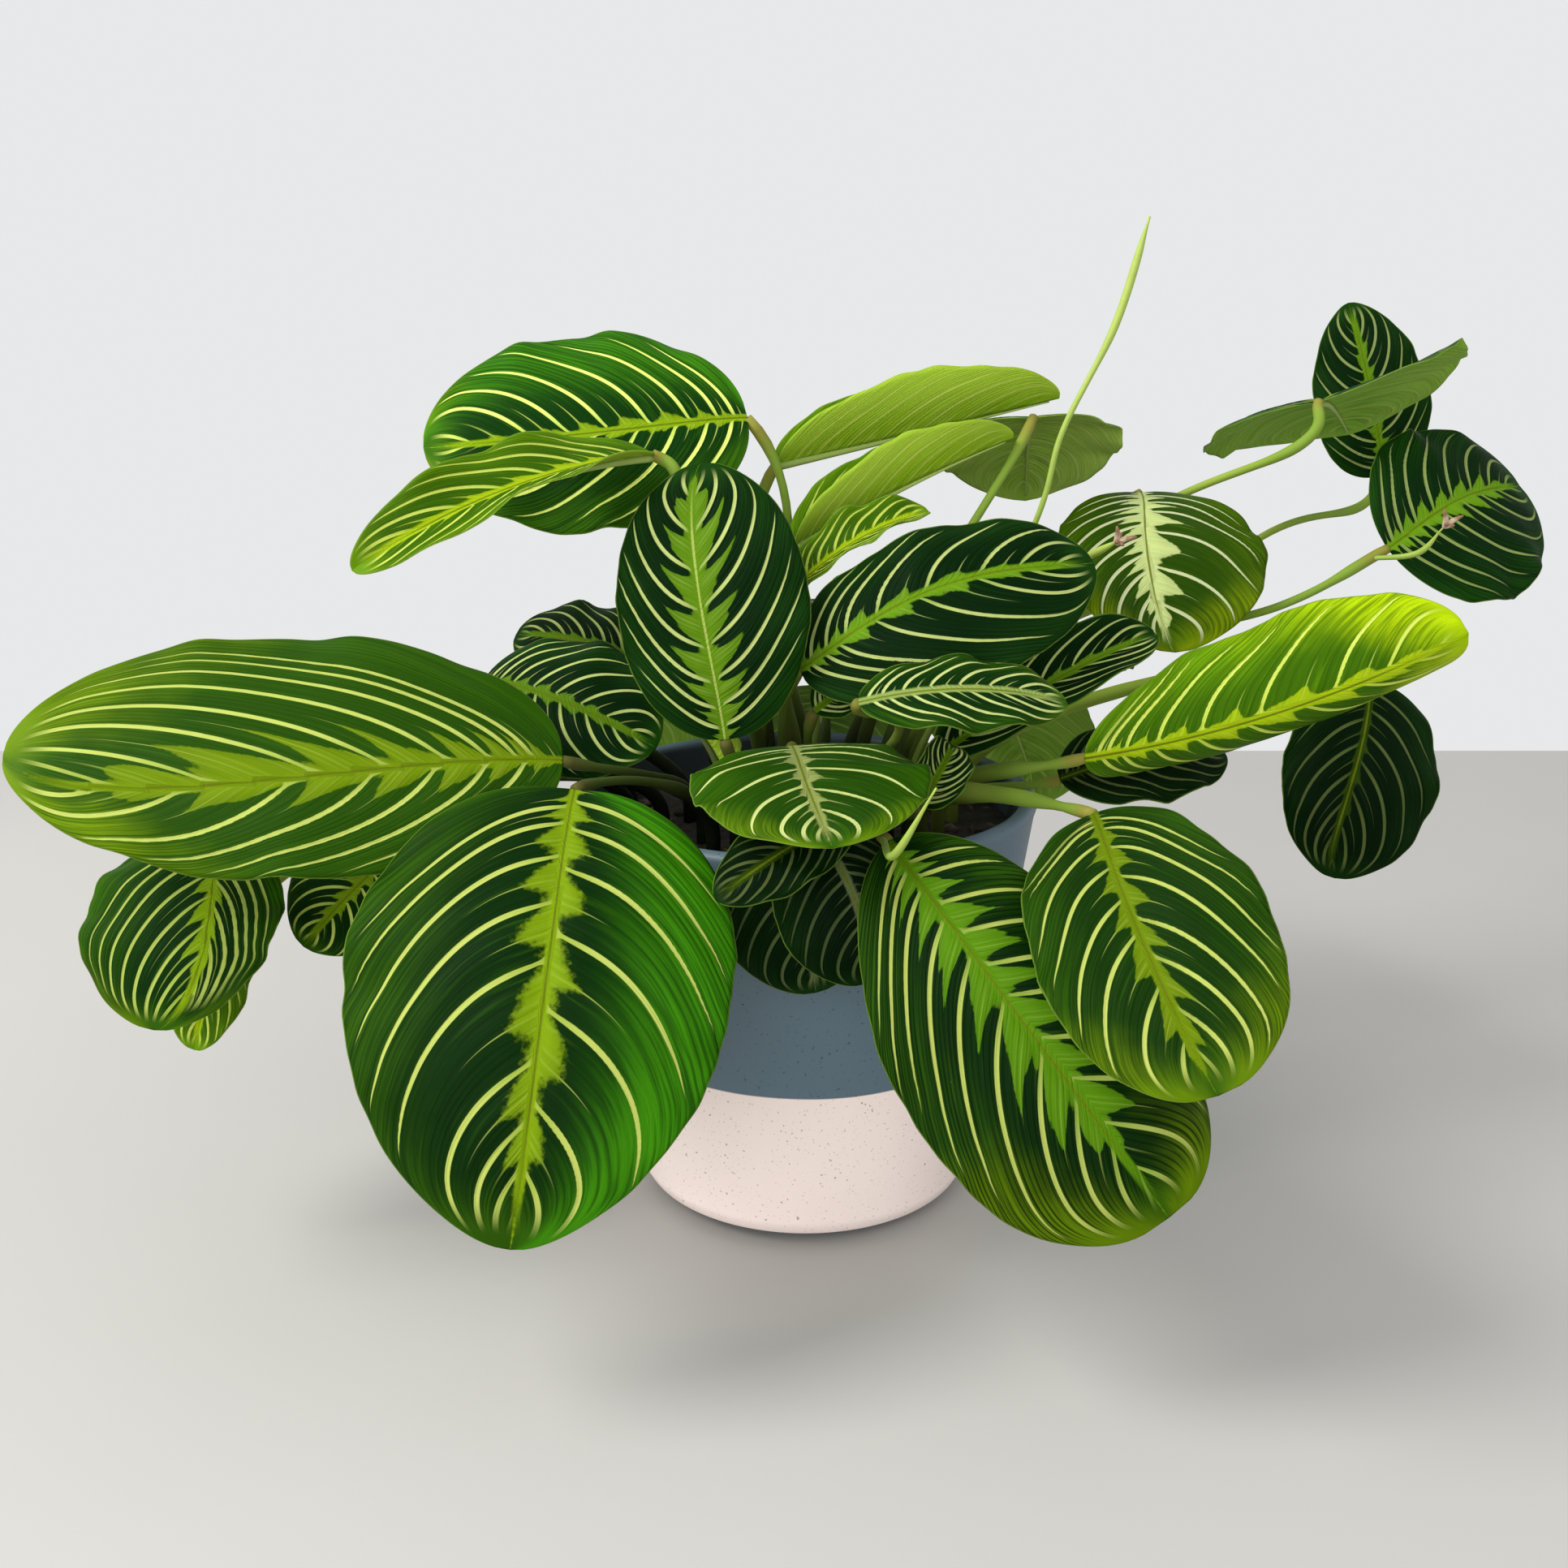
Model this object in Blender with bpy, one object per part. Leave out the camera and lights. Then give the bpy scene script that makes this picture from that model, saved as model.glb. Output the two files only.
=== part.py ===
"""Potted prayer plant: a two-tone pot, its soil, single leaves on their stalks and thin flower stalks.

Metres, +Z up. The origin is the middle of the pot's foot, on the surface that it stands on. +Y points away from
the side that is usually looked at, and +X to the right of it. Named sizes and the tables are in millimetres and
degrees.
"""

import math
from collections import namedtuple

import bmesh
import bpy
import numpy as np

MM = 0.001

# Pot, turned about Z: a narrow foot, a rounded step up to the body, and a straight wall that widens to the rim
POT_HEIGHT = 120.0
POT_FOOT_RADIUS = 42.0
POT_BODY_START = 9.0
POT_BODY_RADIUS = 50.3
POT_RIM_RADIUS = 66.2
POT_WALL = 5.0
POT_FLOOR = 7.0
POT_SIDES = 56
RIM_STEPS = 4
FOOT_STEPS = 4
FOOT_CORNER = (48.8, 2.0)

# Soil, which fills the pot to below its rim
SOIL_HEIGHT = 109.0
SOIL_MOUND = 3.0
SOIL_RIPPLE = 0.8
SOIL_RIPPLE_TURN = (0.21, 0.17)
SOIL_RINGS = 4
CLEARANCE = 0.3
HOLE_SIDES = 6
ROOT_DEPTH = 12.0
STRAIGHT_START = 2.0
CUT_THROUGH = 6.0

# Places where the stalks stand in the soil
ROOT_LIMIT = 50.0
ROOT_LEAN = 1.0
ROOT_SPACING = 9.5
ROOT_ROUNDS = 300

# Leaves
BLADE_THICKNESS = 0.8
ROW_LENGTH = 11.0
WIDE_BLADE = 42.0
STALK_SIDES = 5
STALK_STEPS = 6
STALK_RADIUS = 1.2
SHEATH_RADIUS = 2.0
SHEATH_SHARE = 0.6
MIDRIB_REACH = (0.05, 0.14, 0.26)
MIDRIB_RADII = (1.1, 0.85, 0.6)
MIDRIB_DROP = 0.55
WAVE_PHASE = 1.3

# Leaf: base and tip are the ends of the blade's midrib, and face is the way its upper side looks at mid length.
# arch is the midrib's rise towards face, as a share of its length, and sway its bow to the right. fold is the angle
# at which both halves leave the midrib, and curl how far each bends over its width (left and right, seen from above
# with the tip ahead). twist turns the blade from base to tip. wave is the height and the number of the margin's
# waves. widest is the share of the length at which the blade is widest. via are points that the stalk passes, and
# root is where it stands in the soil, or None where the rule below places it.
Leaf = namedtuple("Leaf", "name tint base tip face width arch sway fold curl twist wave widest via root",
                  defaults=(0.10, 0.0, 6, (-25, -25), 0, (1.5, 3), 0.48, (), None))

LEAVES = [
    # Left side
    Leaf("leaf_upper_left", "mid", (-16, 4, 223), (-101, -12, 216), (0, -0.8, 0.6), 64, arch=0.05, root=(-14, -4)),
    Leaf("leaf_upper_left_twisted", "lime", (-40, -20, 215), (-110, -56, 190), (0, -0.6, 0.8), 25, arch=0.08,
         fold=20, curl=(20, 20), twist=50, via=((-30, -20, 198),)),
    Leaf("leaf_upright", "dark", (-21, -48, 146), (-27, -24, 213), (0, -1, 0.3), 50, arch=0.10),
    Leaf("leaf_far_left", "mid", (-62, -50, 141), (-193, -70, 148), (0, -0.7, 0.7), 70, arch=0.05,
         curl=(-38, -25)),
    Leaf("leaf_left_mid", "dark", (-90, -4, 152), (-40, -30, 139), (0, -0.7, 0.7), 46),
    Leaf("leaf_left_back", "dark", (-43, 8, 153), (-84, 16, 161), (0, -0.6, 0.8), 34),
    Leaf("leaf_young_left", "lime", (-22, -36, 134), (-36, -34, 152), (0.5, 0.7, 0.5), 18, fold=30, curl=(30, 30)),
    Leaf("leaf_front_left", "mid", (-57, -66, 138), (-67, -126, 49), (0, -0.8, 0.55), 94, arch=0.14,
         curl=(-42, -28), widest=0.42),
    Leaf("leaf_left_hanging", "mid", (-156, -34, 116), (-165, -70, 76), (-0.1, -0.8, 0.6), 54, arch=0.16,
         via=((-80, -24, 130),)),
    Leaf("leaf_left_lowest", "lime", (-156, -22, 92), (-167, -42, 57), (-0.1, -0.9, 0.4), 24, fold=20,
         via=((-82, -2, 126),)),
    Leaf("leaf_left_under", "mid", (-112, -20, 108), (-134, -44, 88), (0.1, -0.8, 0.6), 34,
         via=((-72, -14, 128),)),
    # Middle
    Leaf("leaf_rim_left", "dark", (-8, -67, 128), (2, -74, 88), (-0.1, -1, 0.15), 40, arch=0.04,
         root=(-8.9, -38.8)),
    Leaf("leaf_rim_right", "dark", (2, -70, 130), (14, -80, 93), (0.05, -1, 0.25), 34, root=(0.7, -38.9)),
    Leaf("leaf_rim_under", "dark", (10, -73, 133.5), (-22, -89, 118), (-0.1, -0.8, 0.6), 20, root=(5.5, -48)),
    Leaf("leaf_to_viewer", "mid", (-4, -47, 144), (5, -96, 133), (0, -0.25, 1), 59, arch=0.08, fold=3,
         curl=(-12, -12), root=(-1.4, -29.6)),
    Leaf("leaf_middle", "dark", (-2, -38, 162), (74, -28, 188), (0.1, -0.8, 0.6), 46),
    Leaf("leaf_middle_small", "mid", (12, -63, 159), (64, -55, 157), (0, -0.6, 0.8), 24, via=((23, -50, 149),)),
    Leaf("leaf_middle_dark", "dark", (35, -28, 136), (97, -4, 165), (0.1, -0.7, 0.7), 26, fold=25, curl=(20, 20)),
    Leaf("leaf_core_left", "dark", (2, -34, 150), (21, -26, 160), (0, -0.8, 0.6), 16, fold=25),
    Leaf("leaf_core_right", "dark", (28, -56, 131), (37, -46, 144), (0.3, -0.7, 0.6), 18, fold=25, curl=(30, 30)),
    # Right side
    Leaf("leaf_front_right", "mid", (19, -76, 128), (79, -126, 57), (-0.15, -0.9, 0.42), 69, arch=0.10,
         curl=(-80, -25), widest=0.6),
    Leaf("leaf_front_right_over", "mid", (69, -70, 133), (84, -138, 93), (-0.2, -0.9, 0.4), 53, arch=0.15,
         curl=(-25, 5), widest=0.58),
    Leaf("leaf_right_lime", "lime", (72, -40, 139), (175, -24, 169), (0, -1, -0.1), 50, arch=0.0, sway=0.045,
         fold=-12, curl=(-30, -105), widest=0.58),
    Leaf("leaf_right_under", "dark", (70, -18, 127), (119, -4, 131), (0.1, -0.6, 0.8), 30),
    Leaf("leaf_right_hanging", "dark", (165, 14, 148), (153, -6, 94), (0, -1, 0.3), 46, arch=0.14,
         via=((100, 4, 150),)),
    Leaf("leaf_right_back", "lime", (102, 46, 199), (104, 0, 159), (0, -0.5, 0.85), 62, arch=0.16),
    Leaf("leaf_top_right", "mid", (152, 42, 226), (184, 104, 213), (-0.16, 0.2, 0.93), 84, arch=0.06,
         curl=(-30, 12), via=((98, 60, 184), (146, 40, 213))),
    Leaf("leaf_top_right_behind", "dark", (205, 124, 198), (190, 134, 256), (-0.2, -1, 0.2), 39,
         widest=0.4, via=((150, 88, 179),)),
    Leaf("leaf_far_right", "dark", (173, 32, 184), (222, 58, 200), (0, -0.85, 0.5), 62,
         via=((86, 18, 153), (139, 20, 169))),
    # Top
    Leaf("leaf_top_rolled", "lime", (-8, 16, 210), (76, 46, 227), (0, 0.2, 1), 38, arch=0.0, fold=35,
         curl=(45, 45), root=(2, 12)),
    Leaf("leaf_top_pale", "lime", (-3, -6, 190), (59, 20, 217), (0, 0.2, 1), 32, arch=0.02, fold=35, curl=(40, 40)),
    Leaf("leaf_top_small", "lime", (-3, -20, 180), (33, -8, 199), (0, -0.5, 0.85), 18, fold=25, curl=(25, 25)),
    Leaf("leaf_top_back", "pale", (66, 30, 222), (73, 84, 193), (0, 0.5, 0.85), 58, arch=0.12),
    # Back, which is not seen from the usual side
    Leaf("leaf_back_low_left", "mid", (-44, 62, 138), (-66, 118, 84), (-0.2, 0.8, 0.55), 62, arch=0.14),
    Leaf("leaf_back_low", "dark", (6, 70, 134), (8, 116, 68), (0, 0.9, 0.45), 64, arch=0.14),
    Leaf("leaf_back_low_right", "mid", (56, 60, 136), (86, 108, 82), (0.25, 0.8, 0.55), 60, arch=0.14),
    Leaf("leaf_back_left", "dark", (-40, 40, 150), (-58, 112, 142), (0, 0.2, 1), 56),
    Leaf("leaf_back", "mid", (10, 46, 152), (14, 124, 150), (0, 0.25, 1), 58),
    Leaf("leaf_back_right", "dark", (58, 44, 141), (104, 100, 132), (0.1, 0.3, 1), 54),
    Leaf("leaf_back_upright", "lime", (24, 28, 160), (26, 64, 176), (0, 0.9, 0.6), 42),
    Leaf("leaf_back_high_left", "mid", (-22, 36, 178), (-38, 98, 168), (0, 0.3, 1), 46),
    Leaf("leaf_back_high", "dark", (46, 46, 172), (62, 106, 162), (0.1, 0.3, 1), 48),
    Leaf("leaf_back_high_right", "mid", (98, 70, 164), (138, 112, 146), (0.2, 0.3, 1), 46,
         via=((44, 64, 161),)),
]

# Flower stalks: their points from the soil's surface up, the radius of the stalk and that of the bud at its end.
# The bud starts at a share of the length and swells over another.
SPIKE_STEPS = 4
SPIKE_POINT = 0.3
BUD_START = 0.72
BUD_SWELL = 0.1
Spike = namedtuple("Spike", "name points radius bud_radius")
SPIKES = [
    Spike("flower_stalk_tall", ((30, 6, 109), (50, 6, 160), (64, 0, 198), (69, -2, 220), (81, -4, 247),
                                (88, -6, 274)), 0.9, 1.3),
    Spike("flower_stalk_spent", ((40, 20, 109), (53, 19, 148), (67, 4, 177), (82, -20, 193)), 0.8, 1.1),
]

# Short flower stalks that grow from a leaf's own stalk: how far along it, their points, and their radius, which
# changes along them
BRANCH_SWELL = (0.8, 0.9, 1.0, 0.8, 0.25)
Branch = namedtuple("Branch", "share points radius")
BRANCHES = {
    "leaf_front_right": Branch(0.95, ((20, -97, 131), (27, -106, 149)), 1.2),
    "leaf_far_right": Branch(0.95, ((178, 22, 184), (182, 16, 192)), 0.9),
}

# Colours and roughness
TINTS = {
    "dark": (0.020, 0.095, 0.030, 1.0),
    "mid": (0.045, 0.190, 0.025, 1.0),
    "lime": (0.220, 0.450, 0.030, 1.0),
    "pale": (0.240, 0.370, 0.110, 1.0),
}
POT_COLOUR = (0.30, 0.36, 0.42, 1.0)
SOIL_COLOUR = (0.035, 0.024, 0.016, 1.0)
LEAF_ROUGHNESS = 0.45
POT_ROUGHNESS = 0.6
SOIL_ROUGHNESS = 0.95


def unit(vector):
    """The vector at length 1, or each row of an array of them."""
    vector = np.asarray(vector, dtype=float)
    return vector / np.linalg.norm(vector, axis=-1, keepdims=True)


def leaf_axes(leaf):
    """A leaf's direction from base to tip, the way to its right and the way its upper side faces."""
    along = unit(np.subtract(leaf.tip, leaf.base))
    right = unit(np.cross(along, leaf.face))
    return along, right, np.cross(right, along)


def leaf_length(leaf):
    """The straight distance between the blade's base and its tip."""
    return float(np.linalg.norm(np.subtract(leaf.tip, leaf.base)))


def midrib(leaf, u):
    """Points of the midrib at the shares u of its length, with its direction and the upper side's normal there."""
    along, right, up = leaf_axes(leaf)
    length = leaf_length(leaf)
    bow = 4 * (up * leaf.arch + right * leaf.sway)
    u = np.asarray(u, dtype=float)[..., None]
    points = np.array(leaf.base) + length * (along * u + bow * u * (1 - u))
    tangent = unit(along + bow * (1 - 2 * u))
    flat_normal = unit(np.cross(np.broadcast_to(right, tangent.shape), tangent))
    turn = np.radians(leaf.twist) * (u - 0.5)
    side = np.cos(turn) * np.cross(tangent, flat_normal) + np.sin(turn) * flat_normal
    return points, tangent, side, np.cross(side, tangent)


def half_width(leaf, u):
    """Half of the blade's width at the shares u of its length: an oval with a short point at the tip."""
    peak = leaf.widest ** leaf.widest * (1 - leaf.widest) ** (1 - leaf.widest)
    u = np.clip(u, 0, 1)
    return leaf.width / 2 * u ** leaf.widest * (1 - u) ** (1 - leaf.widest) / peak


def blade_points(leaf, u, v):
    """Points of the blade's middle surface: u runs from base to tip and v from the left margin, -1, to the right."""
    u = np.asarray(u, dtype=float)
    v = np.asarray(v, dtype=float)
    points, _, side, normal = midrib(leaf, u)
    reach = half_width(leaf, u) * np.abs(v)
    start = math.radians(leaf.fold)
    bend = np.radians(np.where(v < 0, leaf.curl[0], leaf.curl[1])) / (leaf.width / 2)
    bend = np.where(np.abs(bend) < 1e-6, 1e-6, bend)
    outward = (np.sin(start + bend * reach) - math.sin(start)) / bend
    upward = (math.cos(start) - np.cos(start + bend * reach)) / bend
    height, count = leaf.wave
    ripple = height * np.sin(2 * math.pi * count * u + WAVE_PHASE * np.sign(v)) * v ** 2 * np.sin(math.pi * u)
    return points + side * (outward * np.sign(v))[..., None] + normal * (upward + ripple)[..., None]


def smooth_path(points, first, last, steps):
    """A smooth curve through the points that leaves the first one and reaches the last one in given directions."""
    points = np.array(points, dtype=float)
    spans = np.linalg.norm(np.diff(points, axis=0), axis=1)
    tangents = np.zeros_like(points)
    tangents[1:-1] = (points[2:] - points[:-2]) / 2
    tangents[0] = np.array(first) * spans[0]
    tangents[-1] = np.array(last) * spans[-1]
    path = [points[0]]
    for k in range(len(points) - 1):
        for t in np.linspace(0, 1, steps + 1)[1:]:
            path.append((2 * t ** 3 - 3 * t ** 2 + 1) * points[k] + (t ** 3 - 2 * t ** 2 + t) * tangents[k]
                        + (3 * t ** 2 - 2 * t ** 3) * points[k + 1] + (t ** 3 - t ** 2) * tangents[k + 1])
    return np.array(path)


def soil_top(x, y):
    """Height of the soil's surface: a low mound with ripples that fade out at the pot's wall."""
    edge = np.clip(1 - np.hypot(x, y) / ROOT_LIMIT, 0, 1)
    ripple = np.sin(SOIL_RIPPLE_TURN[0] * x + 1) * np.cos(SOIL_RIPPLE_TURN[1] * y)
    return SOIL_HEIGHT + SOIL_MOUND * edge + SOIL_RIPPLE * edge * ripple


def first_root(leaf):
    """Where a stalk would stand if it had the soil to itself: low, outer leaves near the wall, high ones inside."""
    if leaf.root:
        return leaf.root
    out = math.hypot(leaf.base[0], leaf.base[1])
    share = out / (out + ROOT_LEAN * (leaf.base[2] - SOIL_HEIGHT + SOIL_MOUND))
    reach = ROOT_LIMIT * min(1.0, max(0.0, share))
    return reach * leaf.base[0] / out, reach * leaf.base[1] / out


def spread_roots():
    """The places of all stalks in the soil, pushed apart until each has room for its own hole."""
    spots = [first_root(leaf) for leaf in LEAVES] + [spike.points[0][:2] for spike in SPIKES]
    fixed = [leaf.root is not None for leaf in LEAVES] + [True] * len(SPIKES)
    spots = np.array(spots, dtype=float)
    for _ in range(ROOT_ROUNDS):
        for one in range(len(spots)):
            for other in range(one):
                gap = spots[one] - spots[other]
                distance = max(float(np.hypot(*gap)), 1e-3)
                push = 0.5 * max(0.0, ROOT_SPACING - distance) * gap / distance
                spots[one] += 0 if fixed[one] else push
                spots[other] -= 0 if fixed[other] else push
        reach = np.hypot(spots[:, 0], spots[:, 1])
        spots *= np.minimum(1, ROOT_LIMIT / np.maximum(reach, 1e-3))[:, None]
    return spots


def stalk_path(leaf, root):
    """A leaf's stalk from the bottom of its hole, up out of the soil, to its blade and along under the midrib."""
    top = np.array([root[0], root[1], SOIL_HEIGHT + SOIL_MOUND + STRAIGHT_START])
    stops = [top, *leaf.via, leaf.base]
    _, tangent, _, _ = midrib(leaf, np.array([0.0]))
    arrival = unit(unit(np.subtract(stops[-1], stops[-2])) + tangent[0])
    steps = STALK_STEPS if not leaf.via else STALK_STEPS - 2
    path = smooth_path(stops, (0, 0, 1), arrival, steps)
    points, _, _, normal = midrib(leaf, np.array(MIDRIB_REACH))
    bottom = [root[0], root[1], float(soil_top(*root)) - ROOT_DEPTH]
    return np.vstack([bottom, path, points - normal * MIDRIB_DROP])


def stalk_radii(path):
    """Radii along a stalk: a sheath round its lower part, a thin stalk, and a taper under the midrib."""
    ahead = len(path) - len(MIDRIB_RADII)
    share = np.arange(ahead) / (ahead - 1)
    radii = np.where(share < SHEATH_SHARE, SHEATH_RADIUS, STALK_RADIUS)
    return np.concatenate([radii, MIDRIB_RADII])


# Mesh building


def new_object(name, vertices, faces, colour, roughness):
    """An object of its own from vertices in millimetres, with its own material."""
    mesh = bpy.data.meshes.new(name)
    mesh.from_pydata([tuple(float(c) * MM for c in vertex) for vertex in vertices], [], faces)
    shape = bpy.data.objects.new(name, mesh)
    bpy.context.scene.collection.objects.link(shape)
    material = bpy.data.materials.new(name)
    material.use_nodes = True
    shader = material.node_tree.nodes["Principled BSDF"]
    shader.inputs["Base Color"].default_value = colour
    shader.inputs["Roughness"].default_value = roughness
    shader.inputs["Metallic"].default_value = 0.0
    mesh.materials.append(material)
    return shape


def point_outwards(shape):
    """Turns every face of a closed mesh outwards."""
    work = bmesh.new()
    work.from_mesh(shape.data)
    bmesh.ops.recalc_face_normals(work, faces=work.faces)
    work.to_mesh(shape.data)
    work.free()


def apply_boolean(shape, others, operation):
    """Joins others to the shape, or cuts them from it, in one step, and removes them."""
    group = bpy.data.collections.new(shape.name + "_operands")
    bpy.context.scene.collection.children.link(group)
    for other in others:
        bpy.context.scene.collection.objects.unlink(other)
        group.objects.link(other)
    boolean = shape.modifiers.new("join", "BOOLEAN")
    boolean.operation = operation
    boolean.operand_type = "COLLECTION"
    boolean.collection = group
    boolean.solver = "EXACT"
    evaluated = shape.evaluated_get(bpy.context.evaluated_depsgraph_get())
    result = bpy.data.meshes.new_from_object(evaluated)
    shape.modifiers.clear()
    shape.data = result
    for other in others:
        bpy.data.objects.remove(other, do_unlink=True)
    bpy.data.collections.remove(group)


def tube(name, path, radii, sides, colour):
    """A closed tube along a path, whose rings are turned as little as possible from one to the next."""
    directions = unit(np.gradient(path, axis=0))
    across = unit(np.cross(directions[0], (0.3, 0.9, 0.1)))
    vertices = []
    for point, direction, radius in zip(path, directions, radii):
        across = unit(across - direction * np.dot(across, direction))
        third = np.cross(direction, across)
        for k in range(sides):
            angle = 2 * math.pi * k / sides
            vertices.append(point + radius * (math.cos(angle) * across + math.sin(angle) * third))
    faces = [tuple(range(sides)), tuple(range(len(vertices) - sides, len(vertices)))]
    for ring in range(len(path) - 1):
        for k in range(sides):
            here, beside = ring * sides + k, ring * sides + (k + 1) % sides
            faces.append((here, beside, beside + sides, here + sides))
    shape = new_object(name, vertices, faces, colour, LEAF_ROUGHNESS)
    point_outwards(shape)
    return shape


def blade_triangles(rows, columns):
    """Triangles and the margin of a blade's grid, whose first and last vertices are its base and its tip."""

    def at(row, column):
        return 1 + (row - 1) * (columns + 1) + column

    tip = 1 + (rows - 1) * (columns + 1)
    triangles = []
    for column in range(columns):
        triangles.append((0, at(1, column + 1), at(1, column)))
        triangles.append((tip, at(rows - 1, column), at(rows - 1, column + 1)))
        for row in range(1, rows - 1):
            corners = at(row, column), at(row, column + 1), at(row + 1, column + 1), at(row + 1, column)
            first, second, third, fourth = corners
            triangles.extend([(first, second, third), (first, third, fourth)])
    margin = [0, *[at(row, columns) for row in range(1, rows)], tip, *[at(row, 0) for row in range(rows - 1, 0, -1)]]
    return triangles, margin


def make_blade(leaf):
    """A leaf's blade as a thin plate, split into triangles alike on both faces."""
    rows = int(np.clip(round(leaf_length(leaf) / ROW_LENGTH), 6, 10))
    columns = 6 if leaf.width > WIDE_BLADE else 4
    shares = (1 - np.cos(math.pi * np.arange(rows + 1) / rows)) / 2
    across = np.linspace(-1, 1, columns + 1)
    grid_u = [0.0, *np.repeat(shares[1:-1], columns + 1), 1.0]
    grid_v = [0.0, *np.tile(across, rows - 1), 0.0]
    middle = blade_points(leaf, grid_u, grid_v)
    triangles, margin = blade_triangles(rows, columns)
    corners = middle[np.array(triangles)]
    slopes = np.cross(corners[:, 1] - corners[:, 0], corners[:, 2] - corners[:, 0])
    normals = np.zeros_like(middle)
    for triangle, slope in zip(triangles, slopes):
        normals[list(triangle)] += slope
    offset = unit(normals) * BLADE_THICKNESS / 2
    count = len(middle)
    faces = list(triangles) + [tuple(count + k for k in reversed(triangle)) for triangle in triangles]
    for here, after in zip(margin, margin[1:] + margin[:1]):
        faces.extend([(here, here + count, after), (after, here + count, after + count)])
    vertices = np.vstack([middle + offset, middle - offset])
    shape = new_object(leaf.name, vertices, faces, TINTS[leaf.tint], LEAF_ROUGHNESS)
    point_outwards(shape)
    return shape


def make_leaf(leaf, root):
    """A leaf: its blade joined to its own stalk."""
    blade = make_blade(leaf)
    path = stalk_path(leaf, root)
    radii = stalk_radii(path)
    grown = [tube(leaf.name + "_stalk", path, radii, STALK_SIDES, TINTS[leaf.tint])]
    if leaf.name in BRANCHES:
        branch = BRANCHES[leaf.name]
        start = path[round(branch.share * (len(path) - len(MIDRIB_RADII) - 1))]
        outward = unit(np.subtract(branch.points[0], start))
        upward = unit(np.subtract(branch.points[-1], branch.points[-2]))
        side_path = smooth_path([start, *branch.points], outward, upward, 2)
        side_radii = branch.radius * np.array(BRANCH_SWELL)
        grown.append(tube(leaf.name + "_flower", side_path, side_radii, STALK_SIDES, TINTS["lime"]))
    apply_boolean(blade, grown, "UNION")
    return blade


def make_spike(spike):
    """A flower stalk that stands in the soil and thickens to a slim pointed bud."""
    lowest = np.array(spike.points[0], dtype=float)
    lowest[2] = float(soil_top(*lowest[:2])) - ROOT_DEPTH
    top = lowest + (0, 0, ROOT_DEPTH + SOIL_MOUND + STRAIGHT_START)
    last = unit(np.subtract(spike.points[-1], spike.points[-2]))
    path = smooth_path([top, *spike.points[1:]], (0, 0, 1), last, SPIKE_STEPS)
    path = np.vstack([lowest, path])
    share = np.arange(len(path)) / (len(path) - 1)
    bud = np.clip((share - BUD_START) / BUD_SWELL, 0, 1) * np.clip((1 - share) / BUD_SWELL, 0, 1)
    radii = spike.radius + (spike.bud_radius - spike.radius) * bud
    radii[-1] = SPIKE_POINT
    return tube(spike.name, path, radii, STALK_SIDES, TINTS["lime"])


def pot_wall_radius(height):
    """The body's outer radius at a height."""
    share = (height - POT_BODY_START) / (POT_HEIGHT - POT_BODY_START)
    return POT_BODY_RADIUS + (POT_RIM_RADIUS - POT_BODY_RADIUS) * share


def pot_profile():
    """The pot's outline, from the middle of its foot round the rim to the middle of its floor inside."""
    profile = [(0.0, 0.0)]
    for t in np.linspace(0, 1, FOOT_STEPS + 1):
        radius = (1 - t) ** 2 * POT_FOOT_RADIUS + 2 * t * (1 - t) * FOOT_CORNER[0] + t ** 2 * POT_BODY_RADIUS
        profile.append((radius, 2 * t * (1 - t) * FOOT_CORNER[1] + t ** 2 * POT_BODY_START))
    middle = pot_wall_radius(POT_HEIGHT) - POT_WALL / 2
    for angle in np.linspace(0, math.pi, RIM_STEPS + 1):
        profile.append((middle + POT_WALL / 2 * math.cos(angle),
                        POT_HEIGHT - POT_WALL / 2 + POT_WALL / 2 * math.sin(angle)))
    profile.append((pot_wall_radius(POT_FLOOR) - POT_WALL, POT_FLOOR))
    profile.append((0.0, POT_FLOOR))
    return profile


def turned(name, profile, sides, colour, roughness):
    """A solid turned about Z from a profile whose ends lie on the axis."""
    vertices = [(0, 0, profile[0][1])]
    for radius, height in profile[1:-1]:
        for k in range(sides):
            angle = 2 * math.pi * k / sides
            vertices.append((radius * math.cos(angle), radius * math.sin(angle), height))
    vertices.append((0, 0, profile[-1][1]))
    faces = []
    last = len(profile) - 3
    for k in range(sides):
        after = (k + 1) % sides
        faces.append((0, 1 + k, 1 + after))
        faces.append((len(vertices) - 1, 1 + last * sides + after, 1 + last * sides + k))
        for ring in range(last):
            below, above = 1 + ring * sides, 1 + (ring + 1) * sides
            faces.append((below + k, below + after, above + after, above + k))
    shape = new_object(name, vertices, faces, colour, roughness)
    point_outwards(shape)
    return shape


def make_pot():
    """The pot, one turned piece."""
    return turned("pot", pot_profile(), POT_SIDES, POT_COLOUR, POT_ROUGHNESS)


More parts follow.
